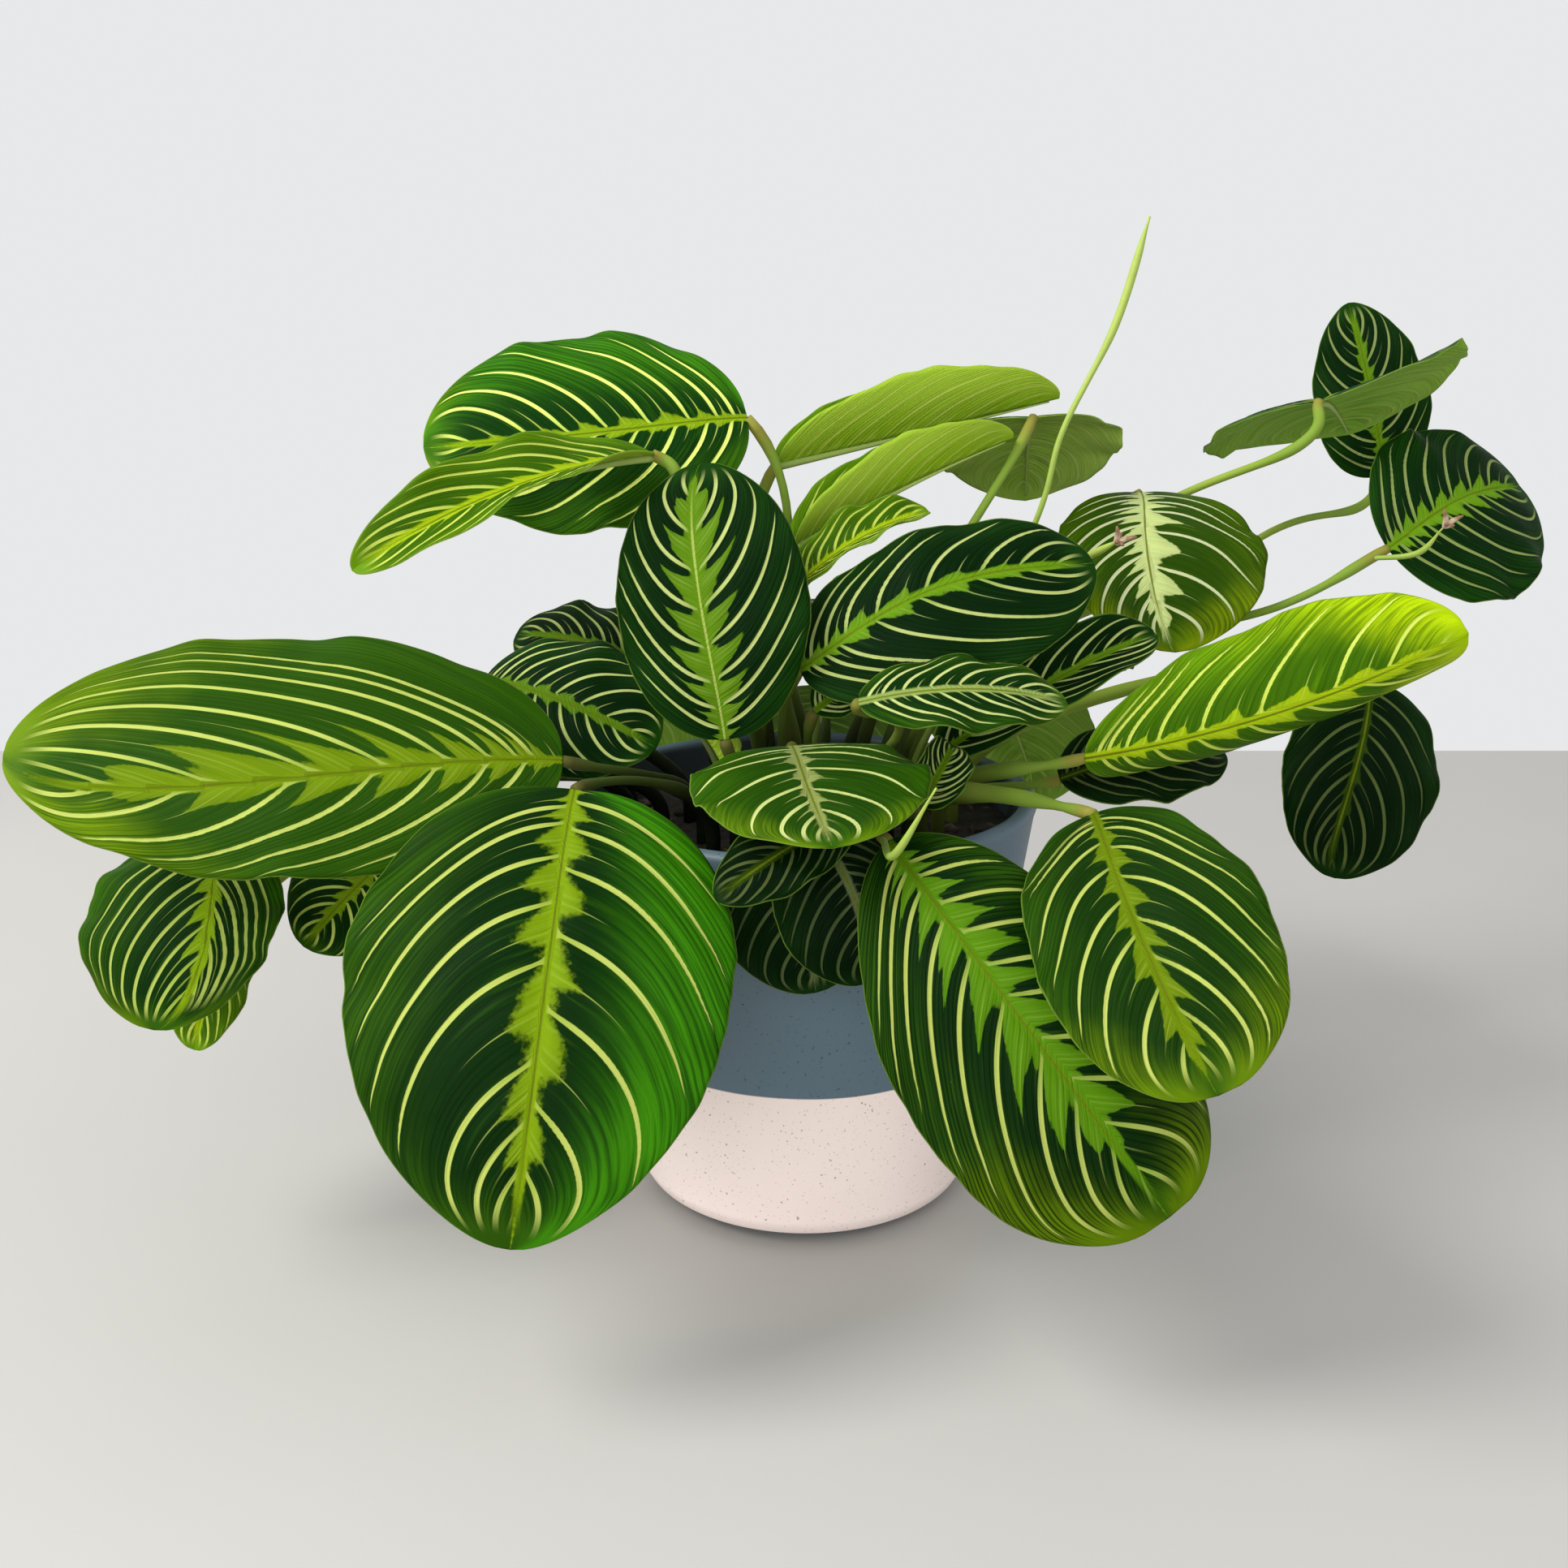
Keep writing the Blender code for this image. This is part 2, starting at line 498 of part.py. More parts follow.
def make_soil(roots):
    """The soil: it fills the pot, its top is a rippled mound, and each stalk has a plain hole in it."""
    inner = POT_WALL + CLEARANCE
    bottom = POT_FLOOR + CLEARANCE
    profile = [(0.0, bottom), (pot_wall_radius(bottom) - inner, bottom)]
    for ring in range(SOIL_RINGS):
        share = 1 - ring / SOIL_RINGS
        profile.append((share * (pot_wall_radius(SOIL_HEIGHT) - inner), SOIL_HEIGHT))
    profile.append((0.0, SOIL_HEIGHT))
    soil = turned("soil", profile, POT_SIDES // 2, SOIL_COLOUR, SOIL_ROUGHNESS)
    for vertex in soil.data.vertices:
        if vertex.co.z > 0.5 * SOIL_HEIGHT * MM:
            vertex.co.z = float(soil_top(vertex.co.x / MM, vertex.co.y / MM)) * MM
    holes = []
    for number, (x, y) in enumerate(roots):
        floor = float(soil_top(x, y)) - ROOT_DEPTH - CLEARANCE
        radius = (SHEATH_RADIUS + CLEARANCE) / math.cos(math.pi / HOLE_SIDES)
        path = np.array([(x, y, floor), (x, y, SOIL_HEIGHT + SOIL_MOUND + CUT_THROUGH)])
        holes.append(tube(f"hole_{number}", path, (radius, radius), HOLE_SIDES, SOIL_COLOUR))
    apply_boolean(soil, holes, "DIFFERENCE")
    return soil


def main():
    for shape in list(bpy.data.objects):
        bpy.data.objects.remove(shape, do_unlink=True)
    roots = spread_roots()
    make_pot()
    make_soil(roots)
    for leaf, root in zip(LEAVES, roots):
        make_leaf(leaf, root)
    for spike in SPIKES:
        make_spike(spike)


main()
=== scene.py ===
"""Looks of the potted prayer plant: veined leaves, stalks, flower stalks, pot, soil, floor, light and camera.

Metres in Blender, +Z up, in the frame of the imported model. Named sizes and the tables are in millimetres and
degrees, as in the part's own source, whose leaf table and curves are repeated here.
"""

import math
from collections import namedtuple

import bpy
import numpy as np
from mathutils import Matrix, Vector


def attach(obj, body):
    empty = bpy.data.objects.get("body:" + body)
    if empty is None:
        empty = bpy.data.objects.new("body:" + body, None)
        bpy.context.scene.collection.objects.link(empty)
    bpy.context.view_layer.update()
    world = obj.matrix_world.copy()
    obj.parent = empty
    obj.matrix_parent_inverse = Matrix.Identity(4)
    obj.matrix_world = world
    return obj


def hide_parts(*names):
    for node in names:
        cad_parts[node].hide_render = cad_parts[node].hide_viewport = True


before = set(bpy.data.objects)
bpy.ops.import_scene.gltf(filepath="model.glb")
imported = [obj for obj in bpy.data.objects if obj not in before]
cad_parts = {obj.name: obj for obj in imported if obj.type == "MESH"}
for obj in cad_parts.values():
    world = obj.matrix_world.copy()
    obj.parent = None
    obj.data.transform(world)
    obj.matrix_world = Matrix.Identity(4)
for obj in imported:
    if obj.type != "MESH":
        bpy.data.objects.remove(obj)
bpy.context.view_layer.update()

MM = 0.001

# Pot, with the same outline as the solid
POT_HEIGHT = 120.0
POT_FOOT_RADIUS = 42.0
POT_BODY_START = 9.0
POT_BODY_RADIUS = 50.3
POT_RIM_RADIUS = 66.2
POT_WALL = 5.0
POT_FLOOR = 7.0
POT_SIDES = 180
FOOT_BEVEL = (48.5, 4.2)
FOOT_RING = 37.0
FOOT_HOLLOW = 1.2
GLAZE_LINE = 49.5

# Soil
SOIL_HEIGHT = 109.0
SOIL_MOUND = 3.0
SOIL_RIPPLE = 0.8
SOIL_RIPPLE_TURN = (0.21, 0.17)
CLEARANCE = 0.3
ROOT_DEPTH = 12.0
ROOT_LIMIT = 50.0
STRAIGHT_START = 2.0

# Leaves
BLADE_THICKNESS = 0.5
WAVE_PHASE = 1.3
STALK_STEPS = 6
STALK_RADIUS = 1.2
SHEATH_RADIUS = 2.0
SHEATH_SHARE = 0.6
STALK_SIDES = 12
THIN_SIDES = 10

# How a leaf grows.
# tint: the palette of its blade
# base, tip: the ends of the blade's midrib
# face: the way its upper side looks at mid length
# arch, sway: how far the midrib bows towards face and to the right, in shares of its length
# fold: the angle at which both halves leave the midrib
# curl: how far each half bends over its width, left and right, seen from above with the tip ahead
# twist: how far the blade turns from base to tip
# wave: the height and the number of the margin's waves
# widest: the share of the length at which the blade is widest
# via: points that the stalk passes
Leaf = namedtuple("Leaf", "name tint base tip face width arch sway fold curl twist wave widest via",
                  defaults=(0.1, 0.0, 6, (-25, -25), 0, (1.5, 3), 0.48, ()))

LEAVES = [
    # Left side
    Leaf("leaf_upper_left", "mid", (-16, 4, 223), (-101, -12, 216), (0, -0.8, 0.6), 64, arch=0.05),
    Leaf("leaf_upper_left_twisted", "lime", (-40, -20, 215), (-110, -56, 190), (0, -0.6, 0.8), 25, arch=0.08,
         fold=20, curl=(20, 20), twist=50, via=((-30, -20, 198),)),
    Leaf("leaf_upright", "dark", (-21, -48, 146), (-27, -24, 213), (0, -1, 0.3), 50, arch=0.1),
    Leaf("leaf_far_left", "mid", (-62, -50, 141), (-193, -70, 148), (0, -0.7, 0.7), 70, arch=0.05,
         curl=(-38, -25)),
    Leaf("leaf_left_mid", "dark", (-90, -4, 152), (-40, -30, 139), (0, -0.7, 0.7), 46),
    Leaf("leaf_left_back", "dark", (-43, 8, 153), (-84, 16, 161), (0, -0.6, 0.8), 34),
    Leaf("leaf_young_left", "lime", (-22, -36, 134), (-36, -34, 152), (0.5, 0.7, 0.5), 18, fold=30,
         curl=(30, 30)),
    Leaf("leaf_front_left", "mid", (-57, -66, 138), (-67, -126, 49), (0, -0.8, 0.55), 94, arch=0.14,
         curl=(-42, -28), widest=0.42),
    Leaf("leaf_left_hanging", "mid", (-156, -34, 116), (-165, -70, 76), (-0.1, -0.8, 0.6), 54, arch=0.16,
         via=((-80, -24, 130),)),
    Leaf("leaf_left_lowest", "lime", (-156, -22, 92), (-167, -42, 57), (-0.1, -0.9, 0.4), 24, fold=20,
         via=((-82, -2, 126),)),
    Leaf("leaf_left_under", "mid", (-112, -20, 108), (-134, -44, 88), (0.1, -0.8, 0.6), 34,
         via=((-72, -14, 128),)),
    # Middle
    Leaf("leaf_rim_left", "dark", (-8, -67, 128), (2, -74, 88), (-0.1, -1, 0.15), 40, arch=0.04),
    Leaf("leaf_rim_right", "dark", (2, -70, 130), (14, -80, 93), (0.05, -1, 0.25), 34),
    Leaf("leaf_rim_under", "dark", (10, -73, 133.5), (-22, -89, 118), (-0.1, -0.8, 0.6), 20),
    Leaf("leaf_to_viewer", "mid", (-4, -47, 144), (5, -96, 133), (0, -0.25, 1), 59, arch=0.08, fold=3,
         curl=(-12, -12)),
    Leaf("leaf_middle", "dark", (-2, -38, 162), (74, -28, 188), (0.1, -0.8, 0.6), 46),
    Leaf("leaf_middle_small", "mid", (12, -63, 159), (64, -55, 157), (0, -0.6, 0.8), 24,
         via=((23, -50, 149),)),
    Leaf("leaf_middle_dark", "dark", (35, -28, 136), (97, -4, 165), (0.1, -0.7, 0.7), 26, fold=25,
         curl=(20, 20)),
    Leaf("leaf_core_left", "dark", (2, -34, 150), (21, -26, 160), (0, -0.8, 0.6), 16, fold=25),
    Leaf("leaf_core_right", "dark", (28, -56, 131), (37, -46, 144), (0.3, -0.7, 0.6), 18, fold=25,
         curl=(30, 30)),
    # Right side
    Leaf("leaf_front_right", "mid", (19, -76, 128), (79, -126, 57), (-0.15, -0.9, 0.42), 69, arch=0.1,
         curl=(-80, -25), widest=0.6),
    Leaf("leaf_front_right_over", "mid", (69, -70, 133), (84, -138, 93), (-0.2, -0.9, 0.4), 53, arch=0.15,
         curl=(-25, 5), widest=0.58),
    Leaf("leaf_right_lime", "lime", (72, -40, 139), (175, -24, 169), (0, -1, -0.1), 50, arch=0.0, sway=0.045,
         fold=-12, curl=(-30, -105), widest=0.58),
    Leaf("leaf_right_under", "dark", (70, -18, 127), (119, -4, 131), (0.1, -0.6, 0.8), 30),
    Leaf("leaf_right_hanging", "dark", (165, 14, 148), (153, -6, 94), (0, -1, 0.3), 46, arch=0.14,
         via=((100, 4, 150),)),
    Leaf("leaf_right_back", "lime", (102, 46, 199), (104, 0, 159), (0, -0.5, 0.85), 62, arch=0.16),
    Leaf("leaf_top_right", "mid", (152, 42, 226), (184, 104, 213), (-0.16, 0.2, 0.93), 84, arch=0.06,
         curl=(-30, 12), via=((98, 60, 184), (146, 40, 213))),
    Leaf("leaf_top_right_behind", "dark", (205, 124, 198), (190, 134, 256), (-0.2, -1, 0.2), 39,
         widest=0.4, via=((150, 88, 179),)),
    Leaf("leaf_far_right", "dark", (173, 32, 184), (222, 58, 200), (0, -0.85, 0.5), 62,
         via=((86, 18, 153), (139, 20, 169))),
    # Top
    Leaf("leaf_top_rolled", "lime", (-8, 16, 210), (76, 46, 227), (0, 0.2, 1), 38, arch=0.0, fold=35,
         curl=(45, 45), wave=(0.6, 2)),
    Leaf("leaf_top_pale", "lime", (-3, -6, 190), (59, 20, 217), (0, 0.2, 1), 32, arch=0.02, fold=35,
         curl=(40, 40), wave=(0.6, 2)),
    Leaf("leaf_top_small", "lime", (-3, -20, 180), (33, -8, 199), (0, -0.5, 0.85), 18, fold=25,
         curl=(25, 25)),
    Leaf("leaf_top_back", "pale", (66, 30, 222), (73, 84, 193), (0, 0.5, 0.85), 58, arch=0.12),
    # Back, which is not seen from the usual side
    Leaf("leaf_back_low_left", "mid", (-44, 62, 138), (-66, 118, 84), (-0.2, 0.8, 0.55), 62, arch=0.14),
    Leaf("leaf_back_low", "dark", (6, 70, 134), (8, 116, 68), (0, 0.9, 0.45), 64, arch=0.14),
    Leaf("leaf_back_low_right", "mid", (56, 60, 136), (86, 108, 82), (0.25, 0.8, 0.55), 60, arch=0.14),
    Leaf("leaf_back_left", "dark", (-40, 40, 150), (-58, 112, 142), (0, 0.2, 1), 56),
    Leaf("leaf_back", "mid", (10, 46, 152), (14, 124, 150), (0, 0.25, 1), 58),
    Leaf("leaf_back_right", "dark", (58, 44, 141), (104, 100, 132), (0.1, 0.3, 1), 54),
    Leaf("leaf_back_upright", "lime", (24, 28, 160), (26, 64, 176), (0, 0.9, 0.6), 42),
    Leaf("leaf_back_high_left", "mid", (-22, 36, 178), (-38, 98, 168), (0, 0.3, 1), 46),
    Leaf("leaf_back_high", "dark", (46, 46, 172), (62, 106, 162), (0.1, 0.3, 1), 48),
    Leaf("leaf_back_high_right", "mid", (98, 70, 164), (138, 112, 146), (0.2, 0.3, 1), 46,
         via=((44, 64, 161),)),
]

# How one half of a blade is drawn: the shares of the length at which its main veins leave the midrib, how far
# they run towards the tip on their way out, and how much more they bend forward near the margin.
Half = namedtuple("Half", "starts straight curved")
LEFT = Half((0.03, 0.09, 0.18, 0.3, 0.43, 0.57, 0.71, 0.84), 0.3, 1.2)
RIGHT = Half((0.05, 0.12, 0.22, 0.34, 0.48, 0.62, 0.76, 0.87), 0.4, 1.4)

# How a blade is drawn.
# spine: how far the drawn midrib bends off the middle, halfway and at the tip, in shares of the half width
# feather: the lobes' reach from the midrib, at the base and at the tip, in shares of the half width
# feather_end: where along the blade the lobes stop
# glow: how much of the blade turns yellow-green towards tip and margin
# lobe, shade: how bright the lobes and the whole blade are; the blade's brightness is partly its own tone and
# partly painted light and shade for how it faces the light
# lobe_tone: the lobes' colour if it isn't the usual one
# whiten: how far lobes and veins turn whitish
# faint: how far the veins sink into the blade's colour
# sun: how far the right half turns a brighter green as painted sunlight, or the left half if it is negative
# haze: how far the dark core turns as light as the panel's edge
# ribs, soft: how dark the painted shade in the fine folds along the veins is, and how blurred the lobes' edges
Look = namedtuple("Look", "left right spine feather feather_end glow midrib lobe shade whiten lobe_tone "
                          "faint sun haze ribs soft",
                  defaults=(LEFT, RIGHT, (0, 0), (0.2, 0.14), 0.88, 0.15, "olive", 1.0, 1.0, 0.0, None, 0.0,
                            0.0, 0.0, 0.3, 0.02))

LOOKS = {
    "leaf_front_left": Look(
        Half((0.026, 0.1, 0.2, 0.35, 0.51, 0.7, 0.83), 0.3, 1.1),
        Half((0.04, 0.085, 0.17, 0.28, 0.41, 0.62, 0.74, 0.83), 0.4, 1.9), spine=(-0.05, -0.05),
        feather=(0.15, 0.12), feather_end=0.93, glow=0.05, lobe=1.2, shade=0.85, sun=-1.0, ribs=0.2,
        soft=0.045),
    "leaf_front_right": Look(
        Half((0.06, 0.1, 0.18, 0.26, 0.35, 0.43, 0.54, 0.64, 0.75, 0.86), 0.28, 0.1),
        Half((0.035, 0.075, 0.13, 0.217, 0.316, 0.434, 0.566, 0.68, 0.8), 0.5, 1.4),
        feather=(0.34, 0.32), feather_end=0.86, glow=0.7, shade=0.72, ribs=0.8,
        lobe_tone=(0.062, 0.165, 0.002)),
    "leaf_front_right_over": Look(
        Half((0.04, 0.1, 0.2, 0.33, 0.49, 0.61, 0.76, 0.87), 0.45, 2.2),
        Half((0.04, 0.07, 0.17, 0.29, 0.42, 0.54, 0.7, 0.84), 0.3, 1.3), spine=(0.08, 0.05),
        feather=(0.17, 0.16), feather_end=0.97, glow=0.6, lobe=0.9, shade=0.85, haze=0.15),
    "leaf_far_left": Look(
        Half((0.06, 0.13, 0.22, 0.33, 0.47, 0.66, 0.8), 0.3, 1.6),
        Half((0.045, 0.075, 0.125, 0.2, 0.31, 0.43, 0.61, 0.78), 0.95, 2.0), spine=(-0.28, -0.5),
        feather=(0.26, 0.24), glow=0.8, lobe=0.85, faint=0.1, haze=0.5),
    "leaf_upright": Look(
        Half((0.03, 0.1, 0.19, 0.31, 0.44, 0.58, 0.72, 0.85), 0.22, 1.7),
        Half((0.04, 0.11, 0.2, 0.32, 0.45, 0.58, 0.72, 0.85), 0.5, 1.4), spine=(-0.13, -0.22),
        feather=(0.35, 0.33), feather_end=0.97, glow=0.0, midrib="cream", shade=0.9),
    "leaf_middle": Look(
        Half((0.035, 0.09, 0.16, 0.27, 0.44, 0.62, 0.74, 0.86), 0.25, 1.2),
        Half((0.03, 0.08, 0.13, 0.26, 0.41, 0.6, 0.76), 0.55, 1.8), spine=(-0.22, 0.0),
        feather=(0.22, 0.05), feather_end=0.97, glow=0.0, lobe=1.3, shade=0.8),
    "leaf_right_lime": Look(
        Half((0.02, 0.045, 0.09, 0.17, 0.28, 0.43, 0.63, 0.77), 0.2, 1.1),
        Half((0.03, 0.08, 0.16, 0.27, 0.4, 0.55, 0.7, 0.84), 0.45, 1.0),
        feather=(0.2, 0.1), feather_end=0.97, glow=0.95, shade=1.2),
    "leaf_upper_left": Look(
        Half((0.04, 0.12, 0.22, 0.34, 0.47, 0.61, 0.74, 0.86), 0.4, 1.2),
        Half((0.03, 0.085, 0.175, 0.3, 0.43, 0.55, 0.66, 0.84), 0.4, 1.3), spine=(-0.1, -0.05),
        feather=(0.13, 0.04), feather_end=0.97, glow=0.3, shade=1.5, sun=0.7, lobe=0.9),
    "leaf_to_viewer": Look(
        Half((0.03, 0.09, 0.17, 0.375, 0.58, 0.74, 0.86), 0.35, 0.6),
        Half((0.08, 0.2, 0.38, 0.55, 0.68, 0.78, 0.86), 0.35, 0.6), spine=(0.05, 0.03),
        feather=(0.13, 0.09), feather_end=0.9, glow=0.55, whiten=0.35, haze=0.4,
        lobe_tone=(0.13, 0.17, 0.008)),
    "leaf_right_back": Look(
        Half((0.05, 0.13, 0.22, 0.38, 0.6, 0.78), 0.2, 1.5),
        Half((0.04, 0.1, 0.18, 0.26, 0.34, 0.43, 0.53, 0.62, 0.74, 0.82), 0.35, 0.5), spine=(0.17, 0.17),
        feather=(0.28, 0.2), feather_end=0.95, glow=0.7, whiten=0.9, shade=0.5,
        lobe_tone=(0.4, 0.52, 0.08)),
    "leaf_left_hanging": Look(
        Half((0.03, 0.09, 0.17, 0.27, 0.4, 0.56), 0.9, 1.8),
        Half((0.02, 0.07, 0.14, 0.24, 0.36, 0.5), 1.0, 2.5), spine=(-0.35, -0.45),
        feather=(0.16, 0.12), feather_end=0.8, glow=0.4, lobe=1.2, faint=0.3),
    "leaf_right_hanging": Look(
        Half((0.05, 0.15, 0.27, 0.41, 0.56, 0.72), 0.7, 1.0),
        Half((0.08, 0.2, 0.33, 0.47, 0.62, 0.77), 0.6, 1.0), spine=(0.12, 0.28),
        feather=(0.07, 0.09), feather_end=0.8, glow=0.0, lobe=0.4, shade=0.5, faint=0.7),
    "leaf_rim_left": Look(spine=(-0.15, 0), feather=(0.05, 0.04), lobe=0.5, shade=0.6, faint=0.8, whiten=0.3),
    "leaf_rim_right": Look(spine=(-0.2, -0.1), feather=(0.05, 0.04), lobe=0.5, shade=0.5, faint=0.84,
                           whiten=0.3),
    "leaf_rim_under": Look(feather=(0.06, 0.04), lobe=0.4, shade=0.5, faint=0.7),
    "leaf_left_mid": Look(feather=(0.14, 0.1), glow=0.25, lobe=0.8),
    "leaf_right_under": Look(feather=(0.1, 0.06), lobe=0.4, shade=0.5, faint=0.6),
    "leaf_far_right": Look(lobe=1.1, faint=0.58, spine=(-0.1, 0)),
    "leaf_top_right_behind": Look(feather=(0.16, 0.12), faint=0.5, shade=0.9),
    "leaf_middle_small": Look(feather=(0.12, 0.08), glow=0.4, whiten=0.4),
    "leaf_left_back": Look(feather=(0.14, 0.1), shade=0.6),
}


def unit(vector):
    """The vector at length 1, or each row of an array of them."""
    vector = np.asarray(vector, dtype=float)
    return vector / np.linalg.norm(vector, axis=-1, keepdims=True)


def smooth(x, low, high):
    """0 below low and 1 above high, with a smooth rise between."""
    share = np.clip((np.asarray(x, dtype=float) - low) / (high - low), 0, 1)
    return share * share * (3 - 2 * share)


# Leaf curves, as in the solid


def leaf_axes(leaf):
    """A leaf's direction from base to tip, the way to its right and the way its upper side faces."""
    along = unit(np.subtract(leaf.tip, leaf.base))
    right = unit(np.cross(along, leaf.face))
    return along, right, np.cross(right, along)


def leaf_length(leaf):
    """The straight distance between the blade's base and its tip."""
    return float(np.linalg.norm(np.subtract(leaf.tip, leaf.base)))


def midrib(leaf, u):
    """The midrib's points at the shares u of its length, its direction there, the side way and the normal."""
    along, right, up = leaf_axes(leaf)
    length = leaf_length(leaf)
    bow = 4 * (up * leaf.arch + right * leaf.sway)
    u = np.asarray(u, dtype=float)[..., None]
    points = np.array(leaf.base) + length * (along * u + bow * u * (1 - u))
    tangent = unit(along + bow * (1 - 2 * u))
    flat_normal = unit(np.cross(np.broadcast_to(right, tangent.shape), tangent))
    turn = np.radians(leaf.twist) * (u - 0.5)
    side = np.cos(turn) * np.cross(tangent, flat_normal) + np.sin(turn) * flat_normal
    return points, tangent, side, np.cross(side, tangent)


# Where the tip starts to draw in to a point, and by what share of the half width
TIP_START = 0.86
TIP_DRAWN_IN = 0.1


def half_width(leaf, u):
    """Half of the blade's width at the shares u of its length: the solid's oval, drawn in at the tip."""
    peak = leaf.widest ** leaf.widest * (1 - leaf.widest) ** (1 - leaf.widest)
    u = np.clip(u, 0, 1)
    point = 1 - TIP_DRAWN_IN * smooth(u, TIP_START, 1)
    return leaf.width / 2 * u ** leaf.widest * (1 - u) ** (1 - leaf.widest) / peak * point


# The relief of a blade 90 mm wide, in millimetres; a narrower one has less
FULL_WIDTH = 90.0
QUILT = 0.7
RUFFLE_HEIGHT = 0.6
RUFFLE_WAVES = 7
GROOVE_DEPTH = 0.5
GROOVE_EDGES = (0.3, 2.2)
# Swings of the margin: their height as a share of the half width, and how many there are along the blade
OUTLINE_WAVES = ((0.01, 2.3), (0.005, 5.1), (0.003, 11.0))


def outline_share(leaf, u, v):
    """How far the margin swings in and out of the solid's oval, as a share of the half width."""
    share = np.zeros_like(u * v)
    for k, (height, count) in enumerate(OUTLINE_WAVES):
        phase = leaf.width * (k + 1) + 1.7 * np.sign(v)
        share += height * (np.sin(2 * math.pi * count * u + phase) - 0.6)
    return 1 + share * np.abs(v) ** 3


def blade_points(leaf, u, v, w, number):
    """Points of the blade's middle surface: the solid's, with a quilt, a groove and a finer margin."""
    points, _, side, normal = midrib(leaf, u)
    reach = half_width(leaf, u) * np.abs(v) * outline_share(leaf, u, v)
    start = math.radians(leaf.fold)
    bend = np.radians(np.where(v < 0, leaf.curl[0], leaf.curl[1])) / (leaf.width / 2)
    bend = np.where(np.abs(bend) < 1e-6, 1e-6, bend)
    outward = (np.sin(start + bend * reach) - math.sin(start)) / bend
    upward = (math.cos(start) - np.cos(start + bend * reach)) / bend
    height, count = leaf.wave
    along = 2 * math.pi * u
    ends = np.sin(math.pi * u)
    share = leaf.width / FULL_WIDTH
    upward += height * np.sin(count * along + WAVE_PHASE * np.sign(v)) * v ** 2 * ends
    ruffle = np.sin(RUFFLE_WAVES * along + 2 * np.sign(v) + leaf.width)
    upward += RUFFLE_HEIGHT * share * v ** 6 * ends * ruffle
    quilt = np.sin(math.pi * number) ** 2 * (1 - v ** 4) * smooth(np.abs(w), 0, 0.12)
    upward += QUILT * share * quilt * smooth(u, 0.02, 0.15) * (1 - smooth(u, 0.85, 0.97))
    upward -= GROOVE_DEPTH * share * (1 - smooth(np.abs(w) * leaf.width / 2, *GROOVE_EDGES)) * ends
    return points + side * (outward * np.sign(v))[..., None] + normal * upward[..., None]


# How far towards the tip a vein bends just after it leaves the midrib, and over which share of its way out
VEIN_START = 0.02
VEIN_TURN = 0.06


def spine_share(look, u):
    """How far the drawn midrib lies off the blade's middle."""
    middle, tip = look.spine
    return u * ((4 * middle - tip) + (2 * tip - 4 * middle) * u)


def drawn_share(look, u, v):
    """Share of the way from the drawn midrib, 0, to the left margin, -1, or the right margin, 1."""
    spine = spine_share(look, u)
    return np.where(v < spine, (v - spine) / (1 + spine), (v - spine) / (1 - spine))


def count_veins(starts, place):
    """How many veins start before a place on the midrib, counted evenly between two and past the last."""
    first, last = starts[1] - starts[0], starts[-1] - starts[-2]
    stops = [starts[0] - 10 * first, *starts, starts[-1] + 10 * last]
    return np.interp(place, stops, [-9, *range(1, len(starts) + 1), len(starts) + 10])


def vein_number(look, u, w):
    """How many main veins lie between the base and a point: whole numbers are the veins themselves."""
    t = np.abs(w)
    number = np.zeros_like(t)
    for half, inside in ((look.left, w < 0), (look.right, w >= 0)):
        place = (1 - half.straight * t) * u ** (1 + half.curved * t ** 3) - VEIN_START * t / (t + VEIN_TURN)
        number = np.where(inside, count_veins(half.starts, place), number)
    return number


def vein_gap(points, number):
    """Millimetres from one main vein to the next, measured across them on the surface."""
    along, across = np.gradient(points, axis=0), np.gradient(points, axis=1)
    rise_along, rise_across = np.gradient(number, axis=0), np.gradient(number, axis=1)
    e = (along * along).sum(-1)
    f = (along * across).sum(-1)
    g = (across * across).sum(-1)
    area = np.maximum(e * g - f * f, 1e-9)
    slope = (g * rise_along ** 2 - 2 * f * rise_along * rise_across + e * rise_across ** 2) / area
    return np.clip(1 / np.sqrt(np.maximum(slope, 1e-8)), 1, 60)


# Mesh building


def link(data, name):
    """A new object with this mesh, light or camera in the scene."""
    shape = bpy.data.objects.new(name, data)
    bpy.context.scene.collection.objects.link(shape)
    return shape


def set_vector(mesh, name, values):
    """A vector for each vertex, which the materials read by name."""
    attribute = mesh.attributes.new(name, "FLOAT_VECTOR", "POINT")
    attribute.data.foreach_set("vector", np.asarray(values, dtype=np.float32).ravel())


class Shell:
    """Closed surfaces gathered into one mesh, with two vectors a vertex and a material number a face."""

    def __init__(self):
        self.points, self.place, self.veins, self.faces, self.materials = [], [], [], [], []
        self.count = 0

    def add(self, points, place, veins, faces, material):
        """Adds a closed surface."""
        points = np.asarray(points, dtype=float).reshape(-1, 3)
        self.points.append(points)
        self.place.append(np.broadcast_to(place, points.shape))
        self.veins.append(np.broadcast_to(veins, points.shape))
        self.faces.extend(tuple(int(k) + self.count for k in face) for face in faces)
        self.materials.extend([material] * len(faces))
        self.count += len(points)

    def build(self, name, materials):
        """The piece, with smooth shading."""
        mesh = bpy.data.meshes.new(name)
        mesh.from_pydata((np.vstack(self.points) * MM).tolist(), [], self.faces)
        for material in materials:
            mesh.materials.append(material)
        mesh.polygons.foreach_set("material_index", self.materials)
        mesh.polygons.foreach_set("use_smooth", [True] * len(self.faces))
        set_vector(mesh, "leaf_place", np.vstack(self.place))
        set_vector(mesh, "leaf_veins", np.vstack(self.veins))
        mesh.update()
        return link(mesh, name)


